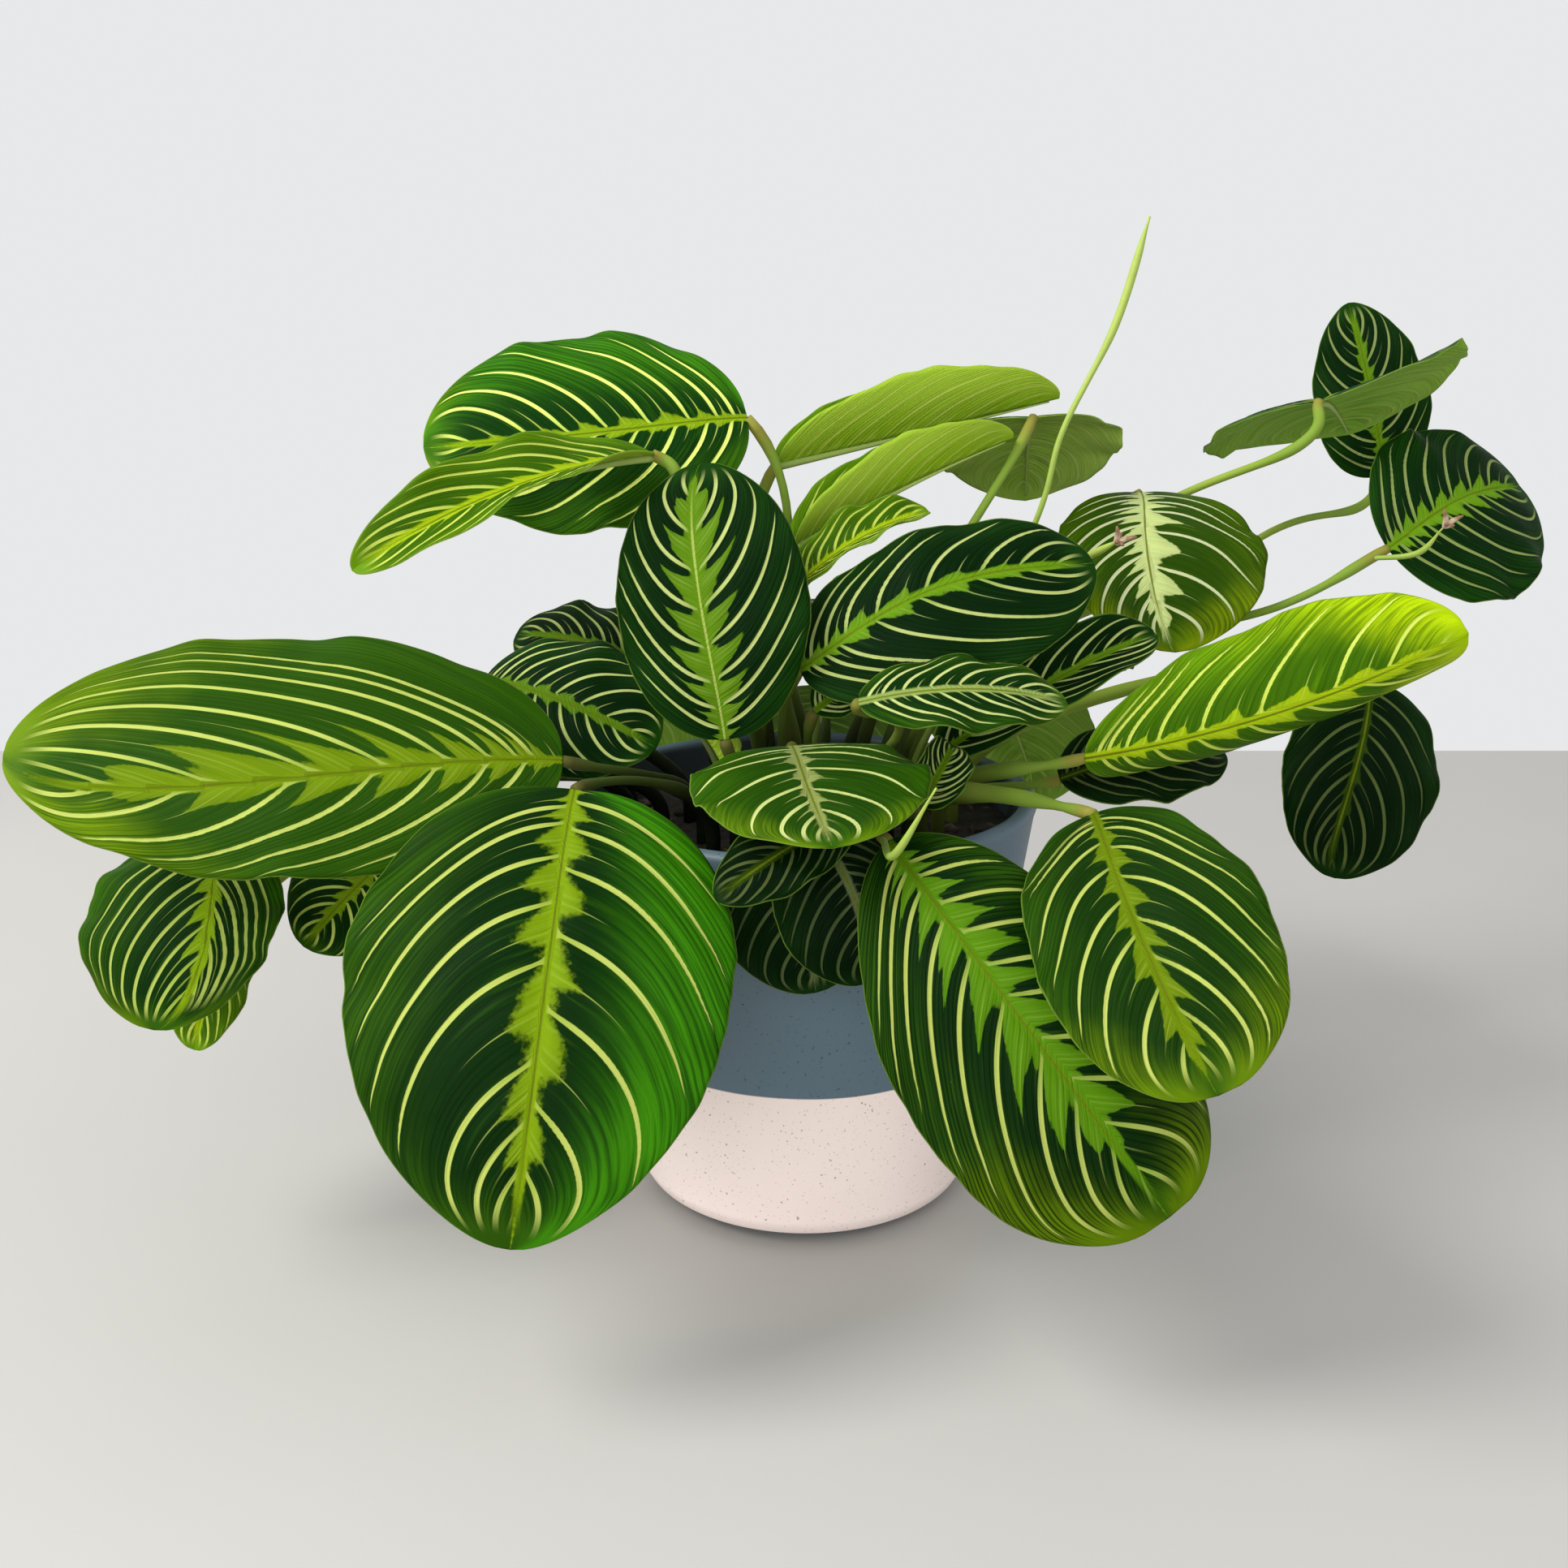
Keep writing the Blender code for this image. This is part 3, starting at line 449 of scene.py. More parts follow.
def tube_rings(path, radii, sides):
    """Rings of points round a path, turned as little as possible from one to the next."""
    directions = unit(np.gradient(path, axis=0))
    across = unit(np.cross(directions[0], (0.3, 0.9, 0.1)))
    angles = 2 * math.pi * np.arange(sides) / sides
    rings = []
    for point, direction, radius in zip(path, directions, radii):
        across = unit(across - direction * np.dot(across, direction))
        third = np.cross(direction, across)
        rings.append(point + radius * (np.cos(angles)[:, None] * across + np.sin(angles)[:, None] * third))
    return np.array(rings)


def ring_faces(count, sides, first):
    """Faces between so many rings of vertices, the first of which has this number."""
    faces = []
    for start in range(first, first + (count - 1) * sides, sides):
        for k in range(sides):
            here, beside = start + k, start + (k + 1) % sides
            faces.append((here, beside, beside + sides, here + sides))
    return faces


def add_tube(shell, path, radii, sides, material, face=0.0):
    """A closed tube along a path. Its vertices know how far along it they are."""
    rings = tube_rings(path, radii, sides)
    count = len(path)
    share = np.repeat(np.linspace(0, 1, count), sides)
    place = np.column_stack([share, np.zeros_like(share), np.full_like(share, face)])
    ends = [tuple(range(sides))[::-1], tuple(range((count - 1) * sides, count * sides))]
    shell.add(rings, place, (0, 0, 0), ends + ring_faces(count, sides, 0), material)


# The size of a blade's quads, and between which numbers their rows and half their columns stay
ROW_MM = 1.0
COLUMN_MM = 1.5
ROWS = (30, 140)
HALF_COLUMNS = (8, 34)


def add_blade(shell, leaf, look):
    """A leaf's blade as a thin closed plate of fine quads."""
    rows = int(np.clip(round(leaf_length(leaf) / ROW_MM), *ROWS))
    columns = 2 * int(np.clip(round(leaf.width / COLUMN_MM / 2), *HALF_COLUMNS))
    shares = (1 - np.cos(math.pi * (np.arange(rows + 1)) / rows)) / 2
    shares = 0.6 * shares + 0.4 * np.linspace(0, 1, rows + 1)
    u, v = np.meshgrid(shares[1:-1], np.linspace(-1, 1, columns + 1), indexing="ij")
    w = drawn_share(look, u, v)
    number = vein_number(look, u, w)
    middle = blade_points(leaf, u, v, w, number)
    gap = vein_gap(middle, number)
    slope = unit(np.cross(np.gradient(middle, axis=1), np.gradient(middle, axis=0)))
    spine = spine_share(look, u)
    reach = half_width(leaf, u) * np.where(w < 0, 1 + spine, 1 - spine)
    zeros = np.zeros(2)
    ends = blade_points(leaf, np.array([0.0, 1.0]), zeros, zeros, zeros)
    thickness = BLADE_THICKNESS / 2 * (1 - 0.5 * np.abs(v) ** 8)
    veins = np.stack([number, gap, reach], axis=-1).reshape(-1, 3)
    veins = np.vstack([veins[columns // 2], veins, veins[-1 - columns // 2]])
    points = []
    places = []
    for face in (1.0, -1.0):
        base = ends[0] + face * slope[0, columns // 2] * BLADE_THICKNESS / 2
        tip = ends[1] + face * slope[-1, columns // 2] * BLADE_THICKNESS / 4
        points.append(np.vstack([base, (middle + face * slope * thickness[..., None]).reshape(-1, 3), tip]))
        place = np.stack([u, w, np.full_like(u, face)], axis=-1).reshape(-1, 3)
        places.append(np.vstack([(0, 0, face), place, (1, 0, face)]))
    faces, margin = blade_faces(rows, columns)
    count = len(points[0])
    both = list(faces) + [tuple(count + k for k in reversed(face)) for face in faces]
    for here, after in zip(margin, margin[1:] + margin[:1]):
        both.append((here, here + count, after + count, after))
    shell.add(np.vstack(points), np.vstack(places), np.vstack([veins, veins]), both, 0)


def blade_faces(rows, columns):
    """Faces and the margin of a blade's grid, whose first and last vertices are its base and its tip."""
    tip = 1 + (rows - 1) * (columns + 1)
    row, column = np.meshgrid(np.arange(rows - 2), np.arange(columns), indexing="ij")
    corner = (1 + row * (columns + 1) + column).ravel()
    quads = np.column_stack([corner, corner + 1, corner + columns + 2, corner + columns + 1])
    faces = [tuple(quad) for quad in quads.tolist()]
    last = 1 + (rows - 2) * (columns + 1)
    for k in range(columns):
        faces.append((0, 2 + k, 1 + k))
        faces.append((tip, last + k, last + k + 1))
    right = [1 + k * (columns + 1) + columns for k in range(rows - 1)]
    left = [1 + k * (columns + 1) for k in range(rows - 1)]
    return faces, [0, *right, tip, *left[::-1]]


# Stalks


def smooth_path(points, first, last, steps):
    """A smooth curve through the points, with given directions at the first one and at the last one."""
    points = np.array(points, dtype=float)
    spans = np.linalg.norm(np.diff(points, axis=0), axis=1)
    tangents = np.zeros_like(points)
    tangents[1:-1] = (points[2:] - points[:-2]) / 2
    tangents[0] = np.array(first) * spans[0]
    tangents[-1] = np.array(last) * spans[-1]
    path = [points[0]]
    for k in range(len(points) - 1):
        for t in np.linspace(0, 1, steps + 1)[1:]:
            path.append((2 * t ** 3 - 3 * t ** 2 + 1) * points[k] + (t ** 3 - 2 * t ** 2 + t) * tangents[k]
                        + (3 * t ** 2 - 2 * t ** 3) * points[k + 1] + (t ** 3 - t ** 2) * tangents[k + 1])
    return np.array(path)


def soil_top(x, y):
    """Height of the soil's surface: a low mound with ripples that fade out at the pot's wall."""
    edge = np.clip(1 - np.hypot(x, y) / ROOT_LIMIT, 0, 1)
    ripple = np.sin(SOIL_RIPPLE_TURN[0] * x + 1) * np.cos(SOIL_RIPPLE_TURN[1] * y)
    return SOIL_HEIGHT + SOIL_MOUND * edge + SOIL_RIPPLE * edge * ripple


def node_root(name):
    """Where a node's stalk stands in the soil: the middle of its lowest ring inside the pot."""
    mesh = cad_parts[name].data
    corners = np.empty(len(mesh.vertices) * 3)
    mesh.vertices.foreach_get("co", corners)
    corners = corners.reshape(-1, 3) / MM
    corners = corners[np.hypot(corners[:, 0], corners[:, 1]) < ROOT_LIMIT + 2 * SHEATH_RADIUS]
    lowest = corners[corners[:, 2] < corners[:, 2].min() + 0.1]
    return lowest[:, :2].mean(axis=0)


def stalk_path(leaf, root):
    """A leaf's stalk from below the soil's surface up to its blade."""
    top = np.array([root[0], root[1], SOIL_HEIGHT + SOIL_MOUND + STRAIGHT_START])
    stops = [top, *leaf.via, leaf.base]
    _, tangent, _, _ = midrib(leaf, np.array([0.0]))
    arrival = unit(unit(np.subtract(stops[-1], stops[-2])) + tangent[0])
    path = smooth_path(stops, (0, 0, 1), arrival, 4 * STALK_STEPS)
    bottom = [root[0], root[1], float(soil_top(*root)) - ROOT_DEPTH]
    return np.vstack([bottom, path])


# The knee below the blade: its share of the stalk and how much thicker it is
KNEE_SHARE = 0.07
KNEE_SWELL = 0.45
# Stalks that swell in the middle, and by how much
THICK_SHEATHS = {"leaf_right_lime": 1.1, "leaf_front_right_over": 1.0}


def stalk_radii(path, swell):
    """Radii along a stalk: a sheath round its lower part, a thin stalk and a knee just below the blade."""
    length = np.concatenate([[0], np.cumsum(np.linalg.norm(np.diff(path, axis=0), axis=1))])
    share = length / length[-1]
    sheath = 1 - smooth(share, SHEATH_SHARE - 0.12, SHEATH_SHARE + 0.02)
    knee = smooth(share, 1 - 2 * KNEE_SHARE, 1 - KNEE_SHARE)
    knee *= 1 - 0.5 * smooth(share, 1 - 0.3 * KNEE_SHARE, 1)
    bulge = smooth(share, 0.25, 0.5) * (1 - smooth(share, 0.72, 0.86))
    return STALK_RADIUS + (SHEATH_RADIUS - STALK_RADIUS) * sheath + KNEE_SWELL * knee + swell * bulge


# The raised midrib below a blade: its rings, where it ends, its radii, and how deep it is set in
RIB_ROWS = 40
RIB_LENGTH = 0.96
RIB_START = 1.1
RIB_END = 0.2
RIB_DROP = 0.35


def add_rib(shell, leaf, look):
    """The midrib, raised on the blade's underside and tapering towards the tip."""
    u = np.linspace(0.0, RIB_LENGTH, RIB_ROWS)
    _, _, _, normal = midrib(leaf, u)
    points = blade_points(leaf, u, spine_share(look, u), np.zeros_like(u), np.zeros_like(u))
    radii = RIB_END + (RIB_START - RIB_END) * (1 - u) ** 1.3
    path = points - normal * (0.55 * radii + RIB_DROP)[:, None]
    add_tube(shell, path, radii, THIN_SIDES, 1, face=1.0)


# Short flower stalks that leave a leaf's stalk at a share of its length, the points they pass, their radius
Branch = namedtuple("Branch", "share points radius")
BRANCHES = {
    "leaf_front_right": Branch(0.93, ((19, -95, 131), (27, -106, 150)), 1.0),
    "leaf_far_right": Branch(0.95, ((178, 22, 184), (182, 16, 192)), 0.9),
}
# Flower stalks of their own, with the points they pass above the soil
SPIKE_RADIUS = 0.8
BUD_RADIUS = 1.1
SPIKES = {
    "flower_stalk_tall": ((50, 6, 160), (64, 0, 198), (69, -2, 220), (81, -4, 247), (88, -6, 274)),
    "flower_stalk_spent": ((53, 19, 148), (67, 4, 177), (82, -20, 193)),
}


# Materials


def add_node(tree, kind, *items):
    """A node whose first inputs are linked to wires or set to numbers."""
    node = tree.nodes.new("ShaderNode" + kind)
    for k, item in enumerate(items):
        feed(tree, node.inputs[k], item)
    return node


def feed(tree, socket, item):
    """Links a wire to a socket, or sets the socket to a number or colour."""
    if isinstance(item, Wire):
        tree.links.new(item.socket, socket)
    else:
        socket.default_value = item


class Wire:
    """A value in a node tree. Plain arithmetic on it adds Math nodes."""

    def __init__(self, tree, socket):
        self.tree = tree
        self.socket = socket

    def math(self, operation, *others):
        """A Math node on this value and up to two others."""
        node = add_node(self.tree, "Math", self, *others)
        node.operation = operation
        return Wire(self.tree, node.outputs[0])

    def __add__(self, other):
        return self.math("ADD", other)

    def __sub__(self, other):
        return self.math("SUBTRACT", other)

    def __mul__(self, other):
        return self.math("MULTIPLY", other)

    def __truediv__(self, other):
        return self.math("DIVIDE", other)

    def flip(self, total=1.0):
        """The total less this value."""
        return (self * -1.0) + total

    def size(self):
        """The value without its sign."""
        return self.math("ABSOLUTE")

    def part(self):
        """What the value has past its whole number."""
        return self.math("FRACT")

    def split(self):
        """The three values of a vector."""
        node = add_node(self.tree, "SeparateXYZ", self)
        return [Wire(self.tree, socket) for socket in node.outputs]


def rise(value, low, high):
    """0 below low, 1 above high and a smooth rise between. Each end may be a number or a wire."""
    node = add_node(value.tree, "MapRange", value, low, high)
    node.interpolation_type = "SMOOTHSTEP"
    return Wire(value.tree, node.outputs[0])


def mix(share, first, second):
    """A colour between two, by a share that is a wire."""
    node = add_node(share.tree, "Mix", share)
    node.data_type = "RGBA"
    feed(share.tree, node.inputs[6], first)
    feed(share.tree, node.inputs[7], second)
    return Wire(share.tree, node.outputs[2])


def own_space(tree):
    """The place in the piece's own space, in metres."""
    return Wire(tree, add_node(tree, "TexCoord").outputs["Object"])


def own_place(tree):
    """The three coordinates in the piece's own space, in millimetres."""
    return [value * (1 / MM) for value in own_space(tree).split()]


def noise(tree, scale, detail=2.0, vector=None, line=None):
    """Soft noise round 0.5, in the piece's own space, along a vector, or along a line."""
    node = add_node(tree, "TexNoise")
    node.inputs["Scale"].default_value = scale
    node.inputs["Detail"].default_value = detail
    if line:
        node.noise_dimensions = "1D"
        feed(tree, node.inputs["W"], line)
    else:
        feed(tree, node.inputs["Vector"], vector or own_space(tree))
    return Wire(tree, node.outputs[0])


def draw_lot(tree, line):
    """A random number from 0 to 1 that changes with each whole number."""
    node = add_node(tree, "TexWhiteNoise")
    node.noise_dimensions = "1D"
    feed(tree, node.inputs["W"], line)
    return Wire(tree, node.outputs["Value"])


def attribute(tree, name):
    """The three values of a vector that the mesh holds."""
    node = add_node(tree, "Attribute")
    node.attribute_name = name
    return Wire(tree, node.outputs["Vector"]).split()


def new_material(name):
    """A material and its nodes."""
    material = bpy.data.materials.new(name)
    material.use_nodes = True
    return material, material.node_tree


def finish(tree, shown, rough, gloss=0.5):
    """Sets the surface's colour, roughness and gloss."""
    inputs = tree.nodes["Principled BSDF"].inputs
    feed(tree, inputs["Base Color"], shown)
    feed(tree, inputs["Roughness"], rough)
    inputs["Specular IOR Level"].default_value = gloss


def set_bump(height, strength, distance):
    """Lets a height, in shares of a distance in millimetres, bend the surface's normal."""
    tree = height.tree
    node = add_node(tree, "Bump")
    node.inputs["Strength"].default_value = strength
    node.inputs["Distance"].default_value = distance * MM
    feed(tree, node.inputs["Height"], height)
    tree.links.new(node.outputs[0], tree.nodes["Principled BSDF"].inputs["Normal"])


def colour(red, green, blue):
    """A colour with full cover."""
    return red, green, blue, 1.0


def darker(tone, share):
    """A colour with each part times the share."""
    return tone[0] * share, tone[1] * share, tone[2] * share, 1.0


# Upper side: the panel near the midrib, near the margin and where it glows, the lobes and the veins.
# Underside: the panel and the veins.
Palette = namedtuple("Palette", "core edge glow lobe vein under under_vein")
PALETTES = {
    "dark": Palette((0.001, 0.013, 0.001), (0.007, 0.042, 0.002), (0.06, 0.13, 0.002), (0.09, 0.2, 0.004),
                    (0.4, 0.47, 0.15), (0.07, 0.15, 0.016), (0.2, 0.32, 0.06)),
    "mid": Palette((0.002, 0.019, 0.001), (0.024, 0.082, 0.001), (0.12, 0.21, 0.001), (0.13, 0.215, 0.002),
                   (0.4, 0.47, 0.1), (0.17, 0.35, 0.03), (0.28, 0.42, 0.07)),
    "lime": Palette((0.03, 0.09, 0.001), (0.105, 0.225, 0.002), (0.32, 0.46, 0.002), (0.26, 0.37, 0.004),
                    (0.42, 0.5, 0.08), (0.25, 0.44, 0.008), (0.42, 0.54, 0.08)),
    "pale": Palette((0.01, 0.045, 0.002), (0.04, 0.13, 0.004), (0.1, 0.19, 0.002), (0.14, 0.25, 0.005),
                    (0.4, 0.48, 0.12), (0.3, 0.48, 0.06), (0.4, 0.52, 0.13)),
}
# The brighter green of painted sunlight on one half of a blade
SUNNY = colour(0.034, 0.18, 0.002)
WHITISH = colour(0.42, 0.46, 0.26)
MIDRIBS = {"olive": colour(0.095, 0.125, 0.004), "cream": colour(0.33, 0.39, 0.09)}
MARGIN = colour(0.14, 0.23, 0.03)
BLEMISH = colour(0.13, 0.055, 0.006)
LEAF_ROUGHNESS = (0.36, 0.56)
LEAF_GLOSS = 0.03
LEAF_RELIEF = 0.25


def blend(tone, other, share):
    """A colour a share of the way from one to another."""
    return tuple(a + (b - a) * share for a, b in zip(tone, other))


def leaf_palette(leaf, look):
    """The colours of one leaf's blade."""
    # Each blade's brightness: partly its own tone, partly painted light and shade
    palette = Palette(*[darker(tone, look.shade) for tone in PALETTES[leaf.tint]])
    lobe = blend(darker(look.lobe_tone or palette.lobe, look.lobe), WHITISH, look.whiten * 0.6)
    vein = blend(blend(palette.vein, WHITISH, look.whiten), palette.edge, look.faint)
    return palette._replace(core=blend(palette.core, palette.edge, look.haze), lobe=lobe, vein=vein)


# Main veins: half their width in millimetres, plus a share of the blade's width, and how far out they run, at
# least and more by lot, in shares of the way to the margin. They fade where a gap is a small share of the
# blade's width.
VEIN_HALF_WIDTH = 0.27
VEIN_HALF_WIDTH_SHARE = 0.00414
VEIN_LENGTH = (0.88, 0.12)
NARROW_GAPS = (0.02, 0.042)
# Thin veins: where in the gap they lie, half their width, and how far out they run
THIN_VEIN_PLACE = 0.54
THIN_VEIN_HALF_WIDTH = 0.22
THIN_VEIN_LENGTH = (0.28, 0.25)
# The lobes' reach beside a main vein, and what their body, their point, ragged edges and the lot add to it
LOBE_FOOT = 0.27
LOBE_BODY = 0.5
LOBE_POINT = 0.34
LOBE_RAGGED = 0.6
LOBE_LOT = 0.35
# Fine lines in a gap's lobe, and fine folds in a gap's panel
LOBE_LINES = 4.0
FOLDS = 6.0
# The pale band, the midrib on it and the pale margin: how many millimetres from the midrib or from the edge
# they begin, and where they are full
BAND = (1.5, 0.7)
MIDRIB = (0.42, 0.16)
MARGIN_EDGE = (0.45, 0.15)
# Noise scales, in swings a metre
MOTTLE = 45.0
BLEMISHES = 240.0
LOBE_GRAIN = 900.0
SKIN = 1500.0
STALK_STREAKS = 120.0
STALK_GRAIN = 700.0
SPIKE_STREAKS = 260.0
PETAL_PATCHES = 900.0
GLAZE_CLOUDS = 30.0
FINE_SPECKS = 1500.0
COARSE_SPECKS = 700.0
SOIL_CRUMBS = 260.0
SOIL_BARK = 120.0
BARK_PATCHES = 90.0
BARK_GRAIN = 1200.0
FLOOR_CLOUDS = 3.0


class Spot:
    """What is known of a point of the blade, as wires.

    u runs from base to tip, and w from the drawn midrib, 0, to the margins, -1 and 1. t is w unsigned.
    face is 1 on the upper side and -1 on the underside.
    number counts the main veins from base to tip, and p is what it has past a whole one.
    gap, beside and reach are millimetres: from vein to vein, to the nearest vein and from midrib to margin.
    line and lot give each half of each leaf its own streaks, and each of its veins its own chance number.
    not_tip fades out at the tip, roomy where the veins lie close, and mottle is soft noise.
    """

    def __init__(self, tree, leaf, seed):
        self.tree = tree
        self.u, self.w, self.face = attribute(tree, "leaf_place")
        self.number, self.gap, self.reach = attribute(tree, "leaf_veins")
        self.t = self.w.size()
        self.p = self.number.part()
        half = rise(self.w, -0.001, 0.001) * 20.0
        self.line = self.number + half + float(seed)
        self.lot = draw_lot(tree, (self.number + 0.5).math("FLOOR") + half + float(seed))
        self.not_tip = rise(self.u, 0.9, 0.98).flip()
        self.roomy = rise(self.gap, *[share * leaf.width for share in NARROW_GAPS])
        self.beside = (self.p - 0.5).size().flip(0.5) * self.gap
        self.mottle = noise(tree, MOTTLE, 3.0)


def main_veins(spot, leaf):
    """How much a point lies on a main vein, which thins towards the margin."""
    least, lot_share = VEIN_LENGTH
    end = spot.lot * lot_share + least
    half = (spot.t / end).math("POWER", 4.0).flip() * (VEIN_HALF_WIDTH + VEIN_HALF_WIDTH_SHARE * leaf.width)
    half = half * (rise(spot.t, 0.02, 0.2) * 0.35 + 0.65)
    vein = rise(spot.beside, half + 0.14, half - 0.1) * rise(spot.t, end + 0.02, end - 0.05)
    return vein * rise(spot.number, 0.55, 0.75) * spot.not_tip * spot.roomy


def thin_veins(spot):
    """How much a point lies on a thin vein, which runs on past the lobe between two main veins."""
    least, lot_share = THIN_VEIN_LENGTH
    end = spot.lot * lot_share + least
    half = rise(spot.t, end, 0.05) * THIN_VEIN_HALF_WIDTH
    distance = (spot.p - THIN_VEIN_PLACE).size() * spot.gap
    vein = rise(distance, half + 0.12, half - 0.1) * rise(spot.t, end, end - 0.08)
    return vein * rise(spot.u, 0.9, 0.78) * spot.roomy


def lobes(spot, look):
    """How much a point lies in a lobe, and how far out the lobe's edge is there."""
    base_reach, tip_reach = look.feather
    fade = rise(spot.u, look.feather_end, look.feather_end - 0.14) * rise(spot.number, -0.6, 0.4)
    reach = (spot.u * (tip_reach - base_reach) + base_reach) * fade
    ragged = noise(spot.tree, 3.2, 2.0, line=spot.line) - 0.5
    place = THIN_VEIN_PLACE
    body = rise(spot.p, 0.0, 0.3) * rise(spot.p, place + 0.24, place + 0.06)
    point = rise(spot.p, 0.3, place) * rise(spot.p, place + 0.1, place)
    share = body * LOBE_BODY + point * LOBE_POINT + LOBE_FOOT
    edge = reach * (share + ragged * LOBE_RAGGED + (spot.lot - 0.5) * LOBE_LOT)
    grain = (noise(spot.tree, LOBE_GRAIN, 2.0) - 0.5) * (look.soft * 2.0)
    return rise(spot.t + grain, edge + look.soft, edge - look.soft * 0.5), edge


def pleats(spot):
    """Streaks and fine folds that follow the veins: soft noise, its creases and the folds. The creases and
    folds bend the surface and are painted darker as shade.
    """
    streaks = add_node(spot.tree, "CombineXYZ", spot.line * 13.0, spot.t * 2.0, spot.u * 2.5)
    pleat = noise(spot.tree, 1.0, 4.0, vector=Wire(spot.tree, streaks.outputs[0]))
    crease = rise(pleat, 0.4, 0.66) * spot.not_tip
    line = (((spot.number + (pleat - 0.5) * 0.12) * FOLDS).part() - 0.5).size()
    fold = rise(line, 0.22, 0.46) * rise(pleat, 0.3, 0.5) * spot.not_tip * spot.roomy
    return pleat, crease, fold


def panel_colour(spot, look, palette, pleat, crease, fold):
    """The blade's colour between the veins: dark inside, lighter and yellower towards margin and tip, with
    painted shade in creases and folds and, where sun is set, painted light on one half.
    """
    uneven = spot.mottle - 0.5
    outward = rise(spot.t + spot.u * -0.2 + uneven * 0.5, 0.2, 1.05)
    outward = outward.math("MAXIMUM", rise(spot.u, 0.84, 0.97) * 0.9)
    panel = mix(outward, palette.core, palette.edge)
    # Painted light: one half of the blade turns a brighter green
    if look.sun:
        sunny = rise(spot.w * math.copysign(1, look.sun), 0.15, 0.8)
        panel = mix(sunny * abs(look.sun), panel, SUNNY)
    start, end = 1.15 - 0.5 * look.glow, 1.4 - 0.35 * look.glow
    glow = rise(spot.t * 0.35 + spot.u * 0.9 + uneven * 0.4, start, end)
    panel = mix(glow * min(1.0, look.glow * 1.5), panel, palette.glow)
    # Painted shade in the creases, and darker right beside the main veins
    panel = mix(crease * 0.6 + rise(spot.beside, 2.2, 0.5) * 0.2, panel, palette.core)
    # Painted shade in the fine folds
    panel = mix(fold * look.ribs, panel, darker(palette.core, 0.6))
    return mix(rise(pleat, 0.45, 0.25) * 0.4, panel, palette.edge)


def lobe_colour(spot, palette, edge, crease):
    """The lobes' colour: a little darker towards their edge, with fine pale lines and painted shade in the
    creases.
    """
    line = rise(((spot.p * LOBE_LINES + 0.34).part() - 0.5).size(), 0.38, 0.48)
    shown = mix(rise(spot.t, edge * 0.3, edge) * 0.3, palette.lobe, darker(palette.lobe, 0.5))
    shown = mix(line * 0.08, shown, palette.vein)
    return mix(crease * 0.12, shown, palette.edge)


def leaf_material(leaf, look, seed):
    """A blade's finish: dark panels, pale veins, jagged lobes along the midrib and a matt underside."""
    material, tree = new_material(leaf.name)
    palette = leaf_palette(leaf, look)
    spot = Spot(tree, leaf, seed)
    vein = main_veins(spot, leaf)
    thin = thin_veins(spot)
    lobe, edge = lobes(spot, look)
    pleat, crease, fold = pleats(spot)

    # Upper side, from the panels to what lies over them
    panel = panel_colour(spot, look, palette, pleat, crease, fold)
    top = mix(lobe, panel, lobe_colour(spot, palette, edge, crease))
    tone = mix(rise(spot.t, 0.03, 0.3), blend(palette.lobe, palette.vein, 0.45), palette.vein)
    top = mix(thin * (lobe * -0.35 + 0.6), top, tone)
    top = mix(vein, top, tone)
    across = spot.t * spot.reach
    top = mix(rise(across, *BAND) * rise(spot.u, 0.98, 0.85), top, palette.lobe)
    top = mix(rise(across, *MIDRIB) * rise(spot.u, 0.95, 0.7) * 0.85, top, MIDRIBS[look.midrib])
    top = mix(rise(spot.t.flip() * spot.reach, *MARGIN_EDGE) * 0.6, top, MARGIN)
    top = mix(rise(noise(tree, BLEMISHES, 1.0), 0.83, 0.86) * 0.7, top, BLEMISH)

    # Underside, with painted shade in its creases
    below = mix(crease * 0.4, palette.under, palette.edge)
    below = mix(rise(spot.t * 0.5 + spot.mottle * 0.4, 0.15, 0.6) * 0.35, below, palette.under_vein)
    veined = (vein * 0.75 + thin * 0.4 + lobe * 0.25).math("MINIMUM", 1.0)
    below = mix(veined, below, palette.under_vein)

    upper = rise(spot.face, -0.2, 0.2)
    low, high = LEAF_ROUGHNESS
    rough = spot.mottle * (high - low) + low + upper.flip() * 0.2 + (vein + lobe) * 0.04
    finish(tree, mix(upper, below, top), rough, LEAF_GLOSS)
    relief = crease * -0.5 + fold * -0.5 + vein * -0.5 + noise(tree, SKIN, 2.0) * 0.2
    set_bump(relief, 0.6, LEAF_RELIEF)
    return material


SHEATH = colour(0.24, 0.33, 0.04)
STALK = colour(0.17, 0.27, 0.03)
KNEE = colour(0.22, 0.15, 0.03)
RIB = colour(0.34, 0.44, 0.12)
SHADED = colour(0.004, 0.007, 0.002)
STALK_GLOSS = 0.12
# The deep shade in the plant's middle: its centre, and over which radii and heights it ends
SHADE_CENTRE = (-22.0, -18.0)
SHADE_RADII = (42.0, 90.0)
SHADE_HEIGHTS = (120.0, 185.0)


def out_of_shade(tree):
    """0 low in the plant's middle, where the leaves keep the light out, and 1 away from it."""
    x, y, height = own_place(tree)
    x, y = x - SHADE_CENTRE[0], y - SHADE_CENTRE[1]
    radius = (x * x + y * y).math("SQRT")
    return rise(radius, *SHADE_RADII).math("MAXIMUM", rise(height, *SHADE_HEIGHTS))


